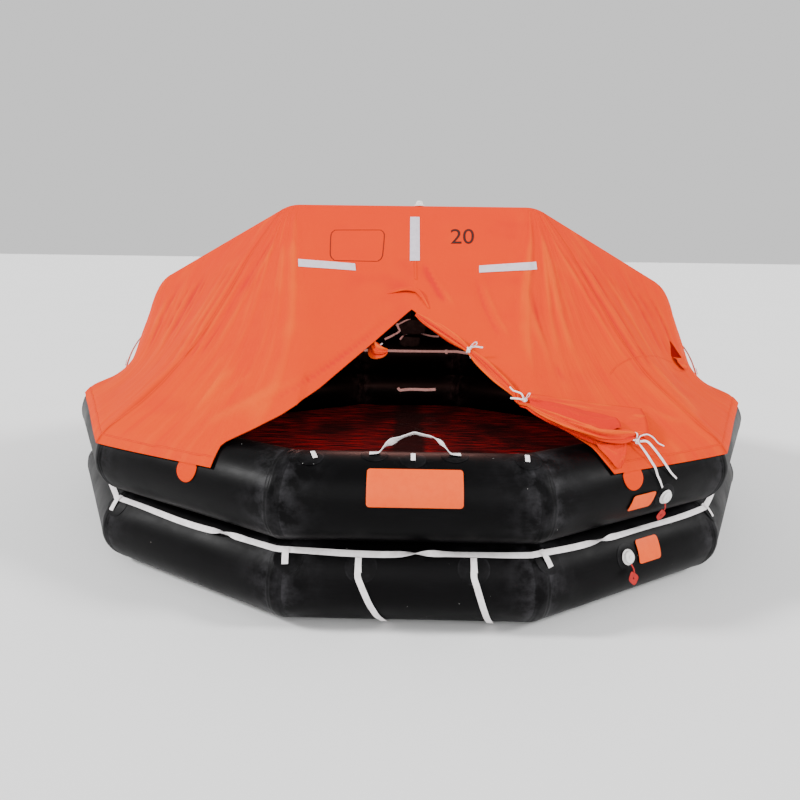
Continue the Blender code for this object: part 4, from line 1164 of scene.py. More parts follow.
def soft_flap(name, tree, top, low, bulge, ripple, seed, columns=90, rows=34, thickness=0.0022, lift=0.004, red=0.0):
    """A loose flap between two (x, z) lines, standing proud by bulge and rippled along its length, redder by red as
    painted shade.
    """
    upper, lower = (even_rows(line, 0.004) for line in (top, low))
    points, fold = [], []
    for c in range(columns + 1):
        u = c / columns
        a, b = (line[round(u * (len(line) - 1))] for line in (upper, lower))
        for r in range(rows + 1):
            v = r / rows
            x, z = a + (b - a) * v
            height = lift + bulge(u, v)
            wave = noise.noise(Vector((u * 3.1, v * 5.5, seed))) + 0.5 * noise.noise(Vector((u * 7.0, v * 11.0, seed + 4)))
            wave += 0.55 * math.sin(v * 15 + 2.5 * u + 3 * noise.noise(Vector((u * 4, v * 2, seed))))
            points.append(on_sheet(tree, x, z, height + ripple * wave * math.sin(math.pi * min(1, v * 1.6 + 0.1)) ** 0.5)[0])
            fold.append(wave)
    flap = cloth_mesh(name, points, sheet_faces(columns + 1, rows + 1, False))
    fold = np.array(fold)
    # Painted shade in the ripples' hollows and painted highlight on their crests.
    attribute(flap, "fold", np.maximum(red, 0.55 * smoothstep(-0.2, -0.8, fold)))
    attribute(flap, "painted_highlight", 0.5 * smoothstep(0.3, 0.9, fold) * (1 - red))
    spot = np.array([(c / columns, r / rows) for c in range(columns + 1) for r in range(rows + 1)])
    # A dark line at the right end and top edge: the stitched edge, darkened further as painted shadow of the raised
    # edge.
    attribute(flap, "seam", np.maximum(0.45 * smoothstep(0.970, 0.992, spot[:, 0]), 0.30 * smoothstep(0.05, 0.01, spot[:, 1])))
    return thicken(flap, thickness)


def seam_tape(name, tree, places, rear=False, width=0.009):
    return coloured(laid_ribbon(name, tree, places, width, 0.0011, 0.0002, rear, 0.015), STITCHED)


def column_seam(name, placed, column, to_rear, first, last):
    """A stitched seam down one column of the canopy's grid."""
    normals = grid_normals(placed, to_rear)
    centres = [Vector(p) + Vector(n) * 0.0002 for p, n in zip(placed[column, first:last], normals[column, first:last])]
    across = []
    for i, n in enumerate(normals[column, first:last]):
        ahead = (centres[min(i + 1, len(centres) - 1)] - centres[max(i - 1, 0)]).normalized()
        across.append(Vector(n).cross(ahead))
    return coloured(ribbon(name, centres, across, 0.010, 0.0012), STITCHED)


def hem_seams(name, placed, to_rear, height, keep):
    """The stitched line that runs round the canopy at this height above its hem."""
    normals = grid_normals(placed, to_rear)
    runs, centres, across = [], [], []
    for c in range(placed.shape[0]):
        left = 0.0
        r = placed.shape[1] - 1
        while left < height:
            left += float(np.linalg.norm(placed[c, r] - placed[c, r - 1]))
            r -= 1
        place = Vector(placed[c, r]) + Vector(normals[c, r]) * 0.0002
        along = Vector(placed[min(c + 1, placed.shape[0] - 1), r] - placed[max(c - 1, 0), r]).normalized()
        if keep(place.x, place.z) > 0.004:
            centres.append(place)
            across.append(Vector(normals[c, r]).cross(along))
        elif len(centres) > 3:
            runs.append((centres, across))
            centres, across = [], []
    if len(centres) > 3:
        runs.append((centres, across))
    return [coloured(ribbon(f"{name}_{i}", c, a, 0.008, 0.0011), STITCHED) for i, (c, a) in enumerate(runs)]


def band_above(edge, rise, low=0.60):
    """The entrance's edge line moved up the cloth by rise, ending above low."""
    return [(x, z + rise) for x, z in edge if z > low]


def make_seams(placed, tree, behind, rear_tree):
    centre = (placed.shape[0] - 1) // 2
    last = placed.shape[1] - 2
    pieces = [column_seam("side_seam", grid, centre + sign * SEAM_COLUMN, to_rear, 2, last)
              for grid, to_rear in ((placed, False), (behind, True)) for sign in (-1, 1)]
    pieces += hem_seams("front_hem_seam", placed, False, 0.040, front_cut)
    pieces += hem_seams("rear_hem_seam", behind, True, 0.040, lambda x, z: 1.0)
    pieces.append(seam_tape("lookout_seam", tree, ((0.90, 0.870), (0.965, 0.900), (1.088, 0.922), (1.236, 0.900), (1.385, 0.845)), width=0.007))
    pieces.append(seam_tape("lookout_low_seam", tree, ((1.37, 0.825), (1.43, 0.800), (1.50, 0.795)), width=0.007))
    return give(join("canopy_seams", pieces), STITCHED, "canopy")


def make_pleat(tree):
    """The folded middle seam down the front, and the gathered fold over the entrance's top."""
    down = laid_ribbon("middle_pleat", tree, ((0.016, 1.350), (0.018, 1.32), (0.018, 1.29), (0.020, 1.262)), 0.010, 0.0030, 0.0008)
    rows = ((-0.120, 1.196, 0.004, 0.006, -0.003), (-0.085, 1.205, 0.010, 0.016, -0.004), (-0.040, 1.212, 0.014, 0.023, -0.004),
            (0.008, 1.211, 0.015, 0.025, -0.004), (0.040, 1.196, 0.013, 0.021, -0.004), (0.064, 1.168, 0.009, 0.014, -0.004),
            (0.084, 1.136, 0.004, 0.006, -0.003))
    over = bundle("fold_over_entrance", tree, rows, 3, ((2, 0.18, 9.0), (4, 0.12, -14.0)), 36)
    for obj in (down, over):
        give(obj, CANOPY, "canopy")
    return [down, over]


TAPES = (
    ("upper", ((-0.014, 1.592), (0.040, 1.592), (0.040, 1.352), (-0.012, 1.350))),
    ("left", ((-0.598, 1.352), (-0.297, 1.333), (-0.288, 1.299), (-0.586, 1.315))),
    ("right", ((0.347, 1.331), (0.651, 1.354), (0.647, 1.316), (0.343, 1.297))),
)
STAMP = ((-0.457, 1.510), (-0.154, 1.514), (-0.157, 1.346), (-0.430, 1.348))
NUMBER = ((0.214, 1.524), (0.346, 1.526), (0.334, 1.444), (0.209, 1.442))


def make_tapes(tree):
    made = []
    for name, corners in TAPES:
        tape = laid_sheet(f"reflective_tape_{name}", tree, corners, 32, 10, 0.0016, 0.0005)
        made.append(give(tape, TAPE))
    return made


def rounded_line(corners, cut):
    """Corners of a loop, each rounded over a length of cut."""
    line = []
    corners = [Vector(c) for c in corners]
    for i, corner in enumerate(corners):
        back, ahead = (corners[i - 1] - corner).normalized(), (corners[(i + 1) % len(corners)] - corner).normalized()
        for t in (0.0, 0.25, 0.5, 0.75, 1.0):
            line.append(corner + back * cut * (1 - t) ** 2 + ahead * cut * t * t)
    return [tuple(p) for p in line] + [tuple(line[0])]


def make_print(tree):
    """The blank frame on the left and the number on the right, printed on the cloth."""
    frame_line = laid_ribbon("printed_frame", tree, rounded_line(STAMP, 0.040), 0.0042, 0.0005, 0.0007, spacing=0.008, closed=True)
    give(frame_line, INK)
    data = bpy.data.curves.new("number", "FONT")
    data.body = "20"
    text = bpy.data.objects.new("number", data)
    bpy.context.scene.collection.objects.link(text)
    bpy.context.view_layer.update()
    mesh = bpy.data.meshes.new_from_object(text.evaluated_get(bpy.context.evaluated_depsgraph_get()))
    bpy.data.objects.remove(text)
    work = bmesh.new()
    work.from_mesh(mesh)
    low = Vector((min(v.co.x for v in work.verts), min(v.co.y for v in work.verts), 0))
    high = Vector((max(v.co.x for v in work.verts), max(v.co.y for v in work.verts), 0))
    for axis, count in ((0, 16), (1, 12)):
        direction = Vector((1, 0, 0)) if axis == 0 else Vector((0, 1, 0))
        for i in range(1, count):
            place = low + (high - low) * i / count
            geometry = work.verts[:] + work.edges[:] + work.faces[:]
            bmesh.ops.bisect_plane(work, geom=geometry, plane_co=place, plane_no=direction)
    corners = [np.array(c) for c in NUMBER]
    for v in work.verts:
        u, w = (v.co.x - low.x) / (high.x - low.x), (high.y - v.co.y) / (high.y - low.y)
        x, z = (corners[0] * (1 - u) + corners[1] * u) * (1 - w) + (corners[3] * (1 - u) + corners[2] * u) * w
        v.co = on_sheet(tree, x, z, 0.0011)[0]
    bmesh.ops.recalc_face_normals(work, faces=work.faces)
    for face in work.faces:
        if face.normal.y > 0:
            face.normal_flip()
    work.to_mesh(mesh)
    work.free()
    number = bpy.data.objects.new("printed_number", mesh)
    bpy.context.scene.collection.objects.link(number)
    give(thicken(number, 0.0004), INK)
    return [frame_line, number]


# The front door, rolled to the right of the entrance and tied in three places

DOOR_GATHER = (
    (0.022, 1.112, 0.006, 0.014, -0.008), (0.060, 1.084, 0.015, 0.026, -0.004), (0.130, 1.040, 0.022, 0.032, 0.000),
    (0.200, 0.996, 0.018, 0.030, 0.004), (0.248, 0.966, 0.010, 0.020, 0.008), (0.300, 0.924, 0.020, 0.034, 0.002),
    (0.360, 0.876, 0.020, 0.036, 0.000), (0.410, 0.838, 0.013, 0.026, 0.004), (0.446, 0.808, 0.008, 0.018, 0.008),
)
DOOR_BODY = (
    (0.446, 0.806, 0.010, 0.020, 0.008), (0.500, 0.774, 0.018, 0.034, 0.004), (0.570, 0.744, 0.024, 0.042, 0.002),
    (0.650, 0.712, 0.028, 0.048, 0.002), (0.720, 0.688, 0.032, 0.052, 0.003), (0.790, 0.677, 0.033, 0.050, 0.004),
    (0.850, 0.674, 0.026, 0.040, 0.006), (0.894, 0.674, 0.012, 0.024, 0.008), (0.925, 0.669, 0.017, 0.026, 0.005),
    (0.945, 0.664, 0.010, 0.018, 0.004),
)
FLAP_TOP = ((0.462, 0.842), (0.547, 0.829), (0.613, 0.814), (0.706, 0.797), (0.798, 0.779), (0.893, 0.765), (0.992, 0.748))
FLAP_LOW = ((0.458, 0.800), (0.535, 0.776), (0.610, 0.752), (0.700, 0.726), (0.790, 0.704), (0.880, 0.684), (0.958, 0.670))
LAYER_TOP = ((0.464, 0.822), (0.535, 0.804), (0.604, 0.784), (0.680, 0.762), (0.750, 0.744), (0.812, 0.729))
LAYER_LOW = ((0.462, 0.796), (0.530, 0.762), (0.600, 0.730), (0.675, 0.704), (0.750, 0.688), (0.826, 0.692))

CORNER_TOP = ((0.700, 0.684), (0.745, 0.672), (0.790, 0.664), (0.845, 0.664))
CORNER_LOW = ((0.722, 0.664), (0.752, 0.634), (0.778, 0.606), (0.806, 0.612))


def make_front_door(tree):
    gather = bundle("door_gather", tree, DOOR_GATHER, 5)
    # The red amounts, and the last number given for the door's folds, paint shade: redder undersides and a redder body
    # and flaps.
    body = bundle("door_folds", tree, DOOR_BODY, 9, ((2, 0.20, 5.0), (5, 0.20, -8.0), (9, 0.14, 12.0), (13, 0.06, -15.0)), 84, 0.006, 0.8, 0.35)
    over = soft_flap("door_flap", tree, FLAP_TOP, FLAP_LOW, lambda u, v: 0.004 + (0.006 + 0.020 * smoothstep(0.0, 0.35, u)) * math.sin(2.2 * v) ** 1.2, 0.0022, 2, red=0.22)
    layer = soft_flap("door_layer", tree, LAYER_TOP, LAYER_LOW, lambda u, v: 0.016 + (0.006 + 0.026 * smoothstep(0.0, 0.4, u)) * math.sin(0.5 + 1.6 * v) ** 1.3, 0.0026, 7, red=0.85)
    corner = soft_flap("door_corner", tree, CORNER_TOP, CORNER_LOW, lambda u, v: 0.004 + 0.022 * math.sin(1.2 + 1.7 * v) * (0.4 + 0.6 * u), 0.003, 13, 40, 26, red=0.5)
    for obj in (gather, body, over, layer, corner):
        give(obj, CANOPY, "canopy")
    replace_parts(body, "door_roll_right")


def tie_loop(name, place, normal, ahead, half, depth, width=0.011):
    """A tape round a roll, its middle half the depth above place."""
    side = normal.cross(ahead).normalized()
    centres, across = [], []
    for i in range(40):
        angle = 2 * math.pi * i / 40
        centres.append(place + side * half * math.cos(angle) + normal * depth * math.sin(angle))
        across.append(ahead)
    return coloured(ribbon(name, centres, across, width, 0.0016, closed=True), WHITE_WEBBING)


def knot(name, place, normal, ahead, size):
    """An overhand knot of flattened tape."""
    side = normal.cross(ahead).normalized()
    centres = []
    for i in range(64):
        t = 2 * math.pi * i / 63
        x = math.sin(t) + 2 * math.sin(2 * t)
        y = math.cos(t) - 2 * math.cos(2 * t)
        centres.append(place + ahead * x * size * 0.33 + side * y * size * 0.33 - normal * math.sin(3 * t) * size * 0.35)
    return coloured(tube_along(name, centres, size * 0.27, 10), WHITE_WEBBING)


def tape_run(name, points, normals, width, thickness=0.0016, twist=0.0, spacing=0.006):
    """Tape along smooth points, lying to the normals and turning by twist on its way."""
    centres = smooth_path(points, spacing)
    across = []
    for i, centre in enumerate(centres):
        part = i / (len(centres) - 1)
        ahead = (centres[min(i + 1, len(centres) - 1)] - centres[max(i - 1, 0)]).normalized()
        spot = part * (len(normals) - 1)
        k = min(int(spot), len(normals) - 2) if len(normals) > 1 else 0
        normal = normals[k].lerp(normals[k + 1], spot - k) if len(normals) > 1 else normals[0]
        side = normal.cross(ahead).normalized()
        across.append(Matrix.Rotation(twist * part, 3, ahead) @ side)
    return coloured(ribbon(name, centres, across, width, thickness), WHITE_WEBBING)


def bow(name, place, normal, reach, width, droop):
    """A loop of tape that leaves place towards reach, comes back and lies on its edge."""
    side = normal.cross(reach.normalized())
    points = [place, place + reach * 0.45 + normal * 0.010 + side * droop * 0.6, place + reach * 0.9 + normal * 0.012 + side * droop,
              place + reach * 1.02 + normal * 0.006, place + reach * 0.8 + normal * 0.004 - side * droop * 0.5, place + reach * 0.35 + normal * 0.004 - side * droop * 0.3,
              place + normal * 0.002]
    return tape_run(name, points, [side, side], width)


TIE_SPOTS = (("door_tie_1", 0.013, 0.0085), ("door_tie_2", 0.013, 0.0095), ("door_tie_3", 0.014, 0.0105))


def middle_of(name):
    low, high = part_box(name)
    return (low + high) / 2


def tie_ends(name, top, normal, runs, width=0.0075):
    """Short ends of a tie: each run is a list of steps away from its top, in metres."""
    made = []
    for k, steps in enumerate(runs):
        made.append(tape_run(f"{name}_end_{k}", [top] + [top + Vector(step) for step in steps], [normal, normal], width, twist=0.5 - k))
    return made


def make_ties(tree):
    """The three tapes round the rolled door, each with its knot, on the places of their nodes."""
    pieces = []
    aheads = (Vector((0.052, 0, -0.044)), Vector((0.054, 0, -0.030)), Vector((0.050, 0.016, -0.010)))
    for (name, half, size), ahead in zip(TIE_SPOTS, aheads):
        middle = middle_of(name)
        normal = Vector((0, -0.78, 0.62)) if name != "door_tie_3" else Vector((0.35, -0.72, 0.60))
        ahead = (ahead - normal * ahead.dot(normal) / normal.length_squared).normalized()
        normal.normalize()
        pieces.append(tie_loop(f"{name}_loop", middle, normal, ahead, half, half + 0.001, 0.0075))
        top = middle + normal * (half + 0.003)
        if name == "door_tie_1":
            pieces.append(knot(f"{name}_knot", top, normal, ahead, size))
            pieces.append(bow(f"{name}_bow", top, normal, Vector((0.034, 0.006, 0.020)), 0.008, 0.007))
            pieces += tie_ends(name, top, normal, (((0.022, 0.002, 0.010), (0.062, 0.004, 0.006)), ((0.004, -0.004, -0.018), (0.010, -0.004, -0.040))))
        elif name == "door_tie_2":
            pieces.append(knot(f"{name}_knot", top, normal, ahead, size))
            pieces.append(bow(f"{name}_bow", top, normal, Vector((0.020, 0.004, 0.022)), 0.007, 0.005))
            pieces += tie_ends(name, top, normal, (((-0.014, 0.004, 0.026), (-0.044, 0.012, 0.036), (-0.058, 0.018, 0.050)),
                                                   ((-0.024, -0.002, 0.006), (-0.056, 0.000, 0.008)), ((0.000, -0.004, -0.014), (0.006, -0.006, -0.030))))
        else:
            centre = middle_of("door_tie_knot")
            pieces.append(knot(f"{name}_knot", centre, normal, ahead, size))
            pieces += tie_ends(name, centre, normal, (((-0.020, -0.006, 0.007), (-0.046, -0.004, 0.012)),))
    ties = give(join("door_ties", pieces), WHITE_WEBBING, "webbing")
    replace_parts(ties, "door_tie_1", "door_tie_2", "door_tie_3", "door_tie_knot")


# Routes of the lowest tie's loose ends: distance along the tube's side, degrees up the tube, height above it
TAIL_SIDE = 1
TAIL_ROUTES = {
    "long": (
        (0.014, 55, 0.0310),
        (0.022, 46, 0.0250),
        (0.031, 38, 0.0200),
        (0.042, 30, 0.0165),
        (0.054, 21, 0.0075),
        (0.067, 12, 0.0060),
        (0.079, 3.4, 0.0060),
    ),
    "short": (
        (0.048, 60, 0.0440),
        (0.064, 50, 0.0360),
        (0.082, 41, 0.0265),
        (0.100, 33, 0.0185),
        (0.118, 26, 0.0110),
        (0.140, 18, 0.0060),
        (0.163, 11, 0.0060),
    ),
    "thin": (
        (0.030, 67, 0.0540),
        (0.060, 66, 0.0600),
        (0.092, 63, 0.0470),
        (0.121, 59, 0.0260),
        (0.151, 55, 0.0165),
    ),
}
TAIL_WIDTHS = {"long": 0.009, "short": 0.009, "thin": 0.005}
KNOT_RADIUS = 0.012


def make_tie_tails():
    """The loose ends of the lowest tie, three flat cords that lie over the hem and down the tube."""
    knot_centre = middle_of("door_tie_knot")
    out, _ = side_frame(TAIL_SIDE)
    for name, route in TAIL_ROUTES.items():
        points = [on_tube(TAIL_SIDE, along, degrees, UPPER_Z, lift) for along, degrees, lift in route]
        start = knot_centre + (points[0] - knot_centre).normalized() * (KNOT_RADIUS + GAP)
        line = smooth_path([start] + points, 0.006)
        across = []
        for i, centre in enumerate(line):
            ahead = (line[min(i + 1, len(line) - 1)] - line[max(i - 1, 0)]).normalized()
            skin = (out + UP * 0.6).cross(ahead).normalized()
            turn = 0.5 * math.sin(math.pi * i / (len(line) - 1))
            across.append(Matrix.Rotation(turn, 3, ahead) @ skin)
        width = TAIL_WIDTHS[name]
        tail = give(ribbon(f"tie_tape_{name}", line, across, width, 0.0016), WHITE_WEBBING, "webbing")
        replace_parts(tail, f"tie_tail_{name}")
        length = sum((b - a).length for a, b in zip(line, line[1:]))
        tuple(line[0])


def make_inner_roll(tree):
    """The inner curtain, rolled up inside the left edge, with a bunch of it showing below its tie."""
    stations = ((-0.104, 0.976, 0.007, 0.016, -0.016), (-0.122, 0.978, 0.022, 0.038, -0.040), (-0.150, 0.990, 0.032, 0.046, -0.056),
                (-0.185, 1.020, 0.014, 0.028, -0.044), (-0.240, 1.000, 0.020, 0.034, -0.046), (-0.330, 0.940, 0.022, 0.036, -0.050),
                (-0.410, 0.885, 0.020, 0.034, -0.048), (-0.470, 0.850, 0.012, 0.022, -0.036))
    roll = give(bundle("inner_curtain_roll", tree, stations, 12, red=0.3), CANOPY, "canopy")
    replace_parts(roll, "door_roll_left")
    place, normal = on_sheet(tree, -0.185, 1.020)
    ahead = (on_sheet(tree, -0.240, 1.000)[0] - place).normalized()
    middle = place - normal * 0.034
    parts = [tie_loop("loop_inner", middle, normal, ahead, 0.021, 0.021)]
    parts.append(knot("knot_inner", middle + Vector((0.010, -0.014, -0.020)), normal, ahead, 0.010))
    parts.append(tape_run("end_inner", [middle + Vector((0.010, -0.014, -0.020)), middle + Vector((0.024, -0.010, -0.018)), middle + Vector((0.050, 0.0, 0.002))], [normal, normal], 0.009))
    give(join("inner_curtain_tie", parts), WHITE_WEBBING, "webbing")


def make_lookout(tree):
    """The lookout hole's short inner sleeve and the flap that hangs below it."""
    rim = [(x, z) for x, z in LOOKOUT]
    middle = np.mean(rim, axis=0)
    points = []
    for ring in range(4):
        for k in range(3):
            for t in (0.0, 0.34, 0.67):
                a, b = np.array(rim[k]), np.array(rim[(k + 1) % 3])
                x, z = (a * (1 - t) + b * t) + (a * (1 - t) + b * t - middle) * 0.06
                place, normal = on_sheet(tree, x, z)
                points.append(place - normal * (0.004 + 0.022 * ring) + (on_sheet(tree, *middle)[0] - place) * 0.22 * ring * (ring > 1))
    faces = []
    for ring in range(3):
        a, b = ring * 9, (ring + 1) * 9
        faces += [(a + k, a + (k + 1) % 9, b + (k + 1) % 9, b + k) for k in range(9)]
    faces.append(tuple(range(27, 36)))
    sleeve = cloth_mesh("lookout_sleeve", points, faces)
    # The sleeve is coloured dark red all over as painted shade inside the hole.
    attribute(sleeve, "fold", [1.0] * 36)
    attribute(sleeve, "seam", [0.75] * 36)
    attribute(sleeve, "painted_highlight", [0.0] * 36)
    give(thicken(sleeve, 0.002), CANOPY, "canopy")
    flap = soft_flap("lookout_flap", tree, ((1.402, 0.862), (1.450, 0.851), (1.502, 0.845)), ((1.412, 0.836), (1.440, 0.806), (1.474, 0.794)), lambda u, v: 0.003 + 0.012 * math.sin(2.4 * v), 0.002, 21, 30, 16)
    give(flap, CANOPY, "canopy")
    return sleeve


def make_hem_patches():
    """Round doublers at the foot of each front seam, half on the cloth and half on the tube."""
    for hand, side, along in (("left", 11, 0.063), ("right", 1, -0.072)):
        hem_angle = 32.7
        centre, radius, steps, rings = 25.5, 0.052, 64, 12
        points = []
        for r in range(rings + 1):
            for k in range(steps):
                angle = 2 * math.pi * k / steps
                reach = radius * r / rings
                degrees = centre + math.degrees(reach * math.sin(angle) / TUBE_RADIUS)
                lift = 0.0035 + (CLOTH_LIFT - 0.0012) * float(smoothstep(hem_angle - 2.2, hem_angle + 1.0, degrees))
                lift -= 0.0012 if r == rings else 0.0
                points.append(on_tube(side, along + reach * math.cos(angle), degrees, UPPER_Z, lift))
        faces = []
        for r in range(rings):
            a, b = r * steps, (r + 1) * steps
            faces += [(a + k, b + k, b + (k + 1) % steps, a + (k + 1) % steps) for k in range(steps)]
        patch = cloth_mesh(f"hem_patch_{hand}_cloth", points, faces)
        work = bmesh.new()
        work.from_mesh(patch.data)
        bmesh.ops.remove_doubles(work, verts=work.verts, dist=1e-5)
        work.to_mesh(patch.data)
        work.free()
        count = len(patch.data.vertices)
        for name in ("fold", "seam", "painted_highlight"):
            attribute(patch, name, [0.0] * count)
        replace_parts(give(thicken(patch, 0.0022), CANOPY, "canopy"), f"hem_patch_{hand}")


def make_arch_straps():
    """A webbing strap over each side of the canopy, from the arch down to the tube, with its buckle."""
    for hand, sign in (("left", -1), ("right", 1)):
        line = QUARTER[-1] * (sign, 1, 1)
        high = [Vector(p) for p in line if 0.56 < p[2] < 0.93][::4]
        top, low = high[0].z, high[-1].z
        slack = [0.022 * math.sin(math.pi * (top - p.z) / (top - low)) for p in high]
        centres = [p + Vector((sign * (0.004 + off), 0, 0.001)) for p, off in zip(high, slack)]
        centres += [on_tube(3 * sign % 12, 0.0, d, UPPER_Z, 0.006) for d in (30, 22, 14)]
        path = smooth_path(centres, 0.010)
        strap = coloured(ribbon(f"arch_webbing_{hand}", path, [Vector((0, 1, 0))] * len(path), 0.025, 0.0024), WHITE_WEBBING)
        buckle = coloured(ladder_buckle(f"arch_buckle_{hand}", path, 0.69), BLACK_PLASTIC)
        patch = tube_disc(f"arch_strap_patch_{hand}", 3 * sign % 12, 0.0, 18, UPPER_Z, 0.048)
        give(patch, RUBBER, "rubber")
        give(join(f"arch_strap_{hand}", [strap, buckle]), WHITE_WEBBING, "webbing")


def ladder_buckle(name, path, height):
    """A three-bar buckle round a strap, at this height on its path."""
    i = min(range(1, len(path) - 1), key=lambda k: abs(path[k].z - height))
    ahead = (path[i + 1] - path[i - 1]).normalized()
    across = Vector((0, 1, 0))
    out = across.cross(ahead).normalized()
    out = out if out.x * path[i].x > 0 else -out
    place = path[i] + out * 0.0035
    bars = []
    for off in (-0.018, 0.0, 0.018):
        bars.append(tube_along(f"{name}_bar", [place + ahead * off + across * y + out * 0.001 for y in (-0.019, -0.006, 0.006, 0.019)], 0.0026, 10))
    for y in (-0.019, 0.019):
        bars.append(tube_along(f"{name}_rail", [place + ahead * off + across * y + out * 0.001 for off in (-0.0185, -0.006, 0.006, 0.0185)], 0.0026, 10))
    return join(name, bars)


# Pieces bonded to the tubes

def tube_plate(name, side, along, degrees, centre_z, size, corner, lift=0.0012, thickness=0.002, lean=0.0, grid=(26, 18)):
    """A flexible plate with rounded corners, bonded round a tube. Lean shears it along the tube as it rises."""
    width, height = size[0] / 2, size[1] / 2
    columns, rows = grid
    points = []
    for j in range(rows + 1):
        part = -math.cos(math.pi * j / rows)
        y = part * height
        past = max(0.0, abs(y) - (height - corner))
        half = width - corner + math.sqrt(max(0.0, corner * corner - past * past))
        for i in range(columns + 1):
            x = -math.cos(math.pi * i / columns) * half
            arc = math.degrees(y / (TUBE_RADIUS + lift))
            points.append(on_tube(side, along + x + lean * y, degrees + arc, centre_z, lift + thickness))
    faces = sheet_faces(rows + 1, columns + 1, True)
    plate = cloth_mesh(name, points, faces)
    return thicken(plate, thickness)


def tube_disc(name, side, along, degrees, centre_z, radius, lift=0.0002, thickness=0.0011, rings=7, steps=48):
    """A round doubler bonded on a tube, chamfered at its edge."""
    points = [on_tube(side, along, degrees, centre_z, lift + thickness)]
    for r in range(1, rings + 1):
        reach = radius * (r / rings if r < rings else 1.0)
        low = 0.0 if r < rings else thickness * 0.7
        for k in range(steps):
            angle = 2 * math.pi * k / steps
            arc = math.degrees(reach * math.sin(angle) / TUBE_RADIUS)
            points.append(on_tube(side, along + reach * math.cos(angle), degrees + arc, centre_z, lift + thickness - low))
    faces = [(0, 1 + k, 1 + (k + 1) % steps) for k in range(steps)]
    for r in range(rings - 1):
        a, b = 1 + r * steps, 1 + (r + 1) * steps
        faces += [(a + k, b + k, b + (k + 1) % steps, a + (k + 1) % steps) for k in range(steps)]
    disc = cloth_mesh(name, points, faces)
    attribute(disc, "wear", [0.15 if i < 1 + (rings - 1) * steps else 0.35 for i in range(len(points))])
    return thicken(disc, thickness)


def tube_strap(name, side, stations, centre_z, width, thickness, lift=0.003, spacing=0.008):
    """Webbing along stations of (along, degrees, extra lift) on a tube, its width along the tube's skin."""
    path = smooth_path([(a, math.radians(d) * TUBE_RADIUS, h) for a, d, h in stations], spacing)
    centres, across = [], []
    for i, p in enumerate(path):
        degrees = math.degrees(p.y / TUBE_RADIUS)
        centres.append(on_tube(side, p.x, degrees, centre_z, lift + p.z))
    for i, p in enumerate(path):
        degrees = math.radians(p.y / TUBE_RADIUS * 180 / math.pi)
        normal, _ = side_frame(side)
        out = normal * math.cos(degrees) + UP * math.sin(degrees)
        ahead = (centres[min(i + 1, len(centres) - 1)] - centres[max(i - 1, 0)]).normalized()
        across.append(out.cross(ahead).normalized())
    return ribbon(name, centres, across, width, thickness)


def make_signs():
    boarding = tube_plate("boarding_sign_plate", 0, 0.018, 32, UPPER_Z, (0.345, 0.14), 0.012, grid=(40, 22))
    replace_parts(give(boarding, PLATE, "plate"), "boarding_sign")
    lower = tube_plate("lower_label_plate", 1, 0.06, 23, LOWER_Z, (0.125, 0.095), 0.012)
    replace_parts(give(lower, PLATE, "plate"), "label_plate_lower")
    upper = tube_plate("upper_label_plate", 1, -0.025, -10, UPPER_Z, (0.125, 0.062), 0.010, lean=0.35)
    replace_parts(give(upper, PLATE, "plate"), "label_plate_upper")


VALVES = (("lower", 1, -0.063, 21, "LOWER"), ("upper", 1, 0.11, -12, "UPPER"))
CAP_OUTLINE = (
    (0, 0.0135), (0.008, 0.0135), (0.0085, 0.0150), (0.0200, 0.0150), (0.0230, 0.0140), (0.0245, 0.0120, 1),
    (0.0252, 0.010, 1), (0.0252, 0.007, 1), (0.0245, 0.0060), (0.0295, 0.0052), (0.0310, 0.0040), (0.0315, 0.0020),
    (0, 0.0020),
)


def make_valve(which, side, along, degrees, centre_z):
    patch = tube_disc(f"valve_patch_{which}", side, along, degrees, centre_z, 0.054)
    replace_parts(give(patch, RUBBER, "rubber"), f"inflation_valve_{which}_patch")
    normal, tangent = side_frame(side)
    angle = math.radians(degrees)
    out = normal * math.cos(angle) + UP * math.sin(angle)
    place = on_tube(side, along, degrees, centre_z, 0.0016)
    cap = coloured(lathe(f"cap_{which}", CAP_OUTLINE, place, out, 96, 24, 0.0008), PLASTIC)
    rim = coloured(lathe(f"rim_{which}", ((0, 0.0165), (0.0060, 0.0165), (0.0072, 0.0145), (0, 0.0145)), place, out, 24), PLASTIC)
    valve = give(join(f"inflation_valve_cap_{which}", [cap, rim]), PLASTIC, "plastic")
    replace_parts(valve, f"inflation_valve_{which}")
    down = tangent.cross(out)
    down = down if down.z < 0 else -down
    strap = smooth_path([place + out * 0.010 + down * 0.026, place + out * 0.013 + down * 0.045 + tangent * 0.006, place + out * 0.010 + down * 0.062 + tangent * 0.010], 0.006)
    neck = coloured(ribbon(f"neck_{which}", strap, [tangent] * len(strap), 0.006, 0.0016), TAG_RED)
    tag = tag_plate(f"tag_{which}", strap[-1] + down * 0.021 - tangent * 0.010 + out * -0.002, tangent, down, out, 0.026)
    give(join(f"valve_tag_{which}", [coloured(tag, TAG_RED), neck]), TAG_RED, "plastic")


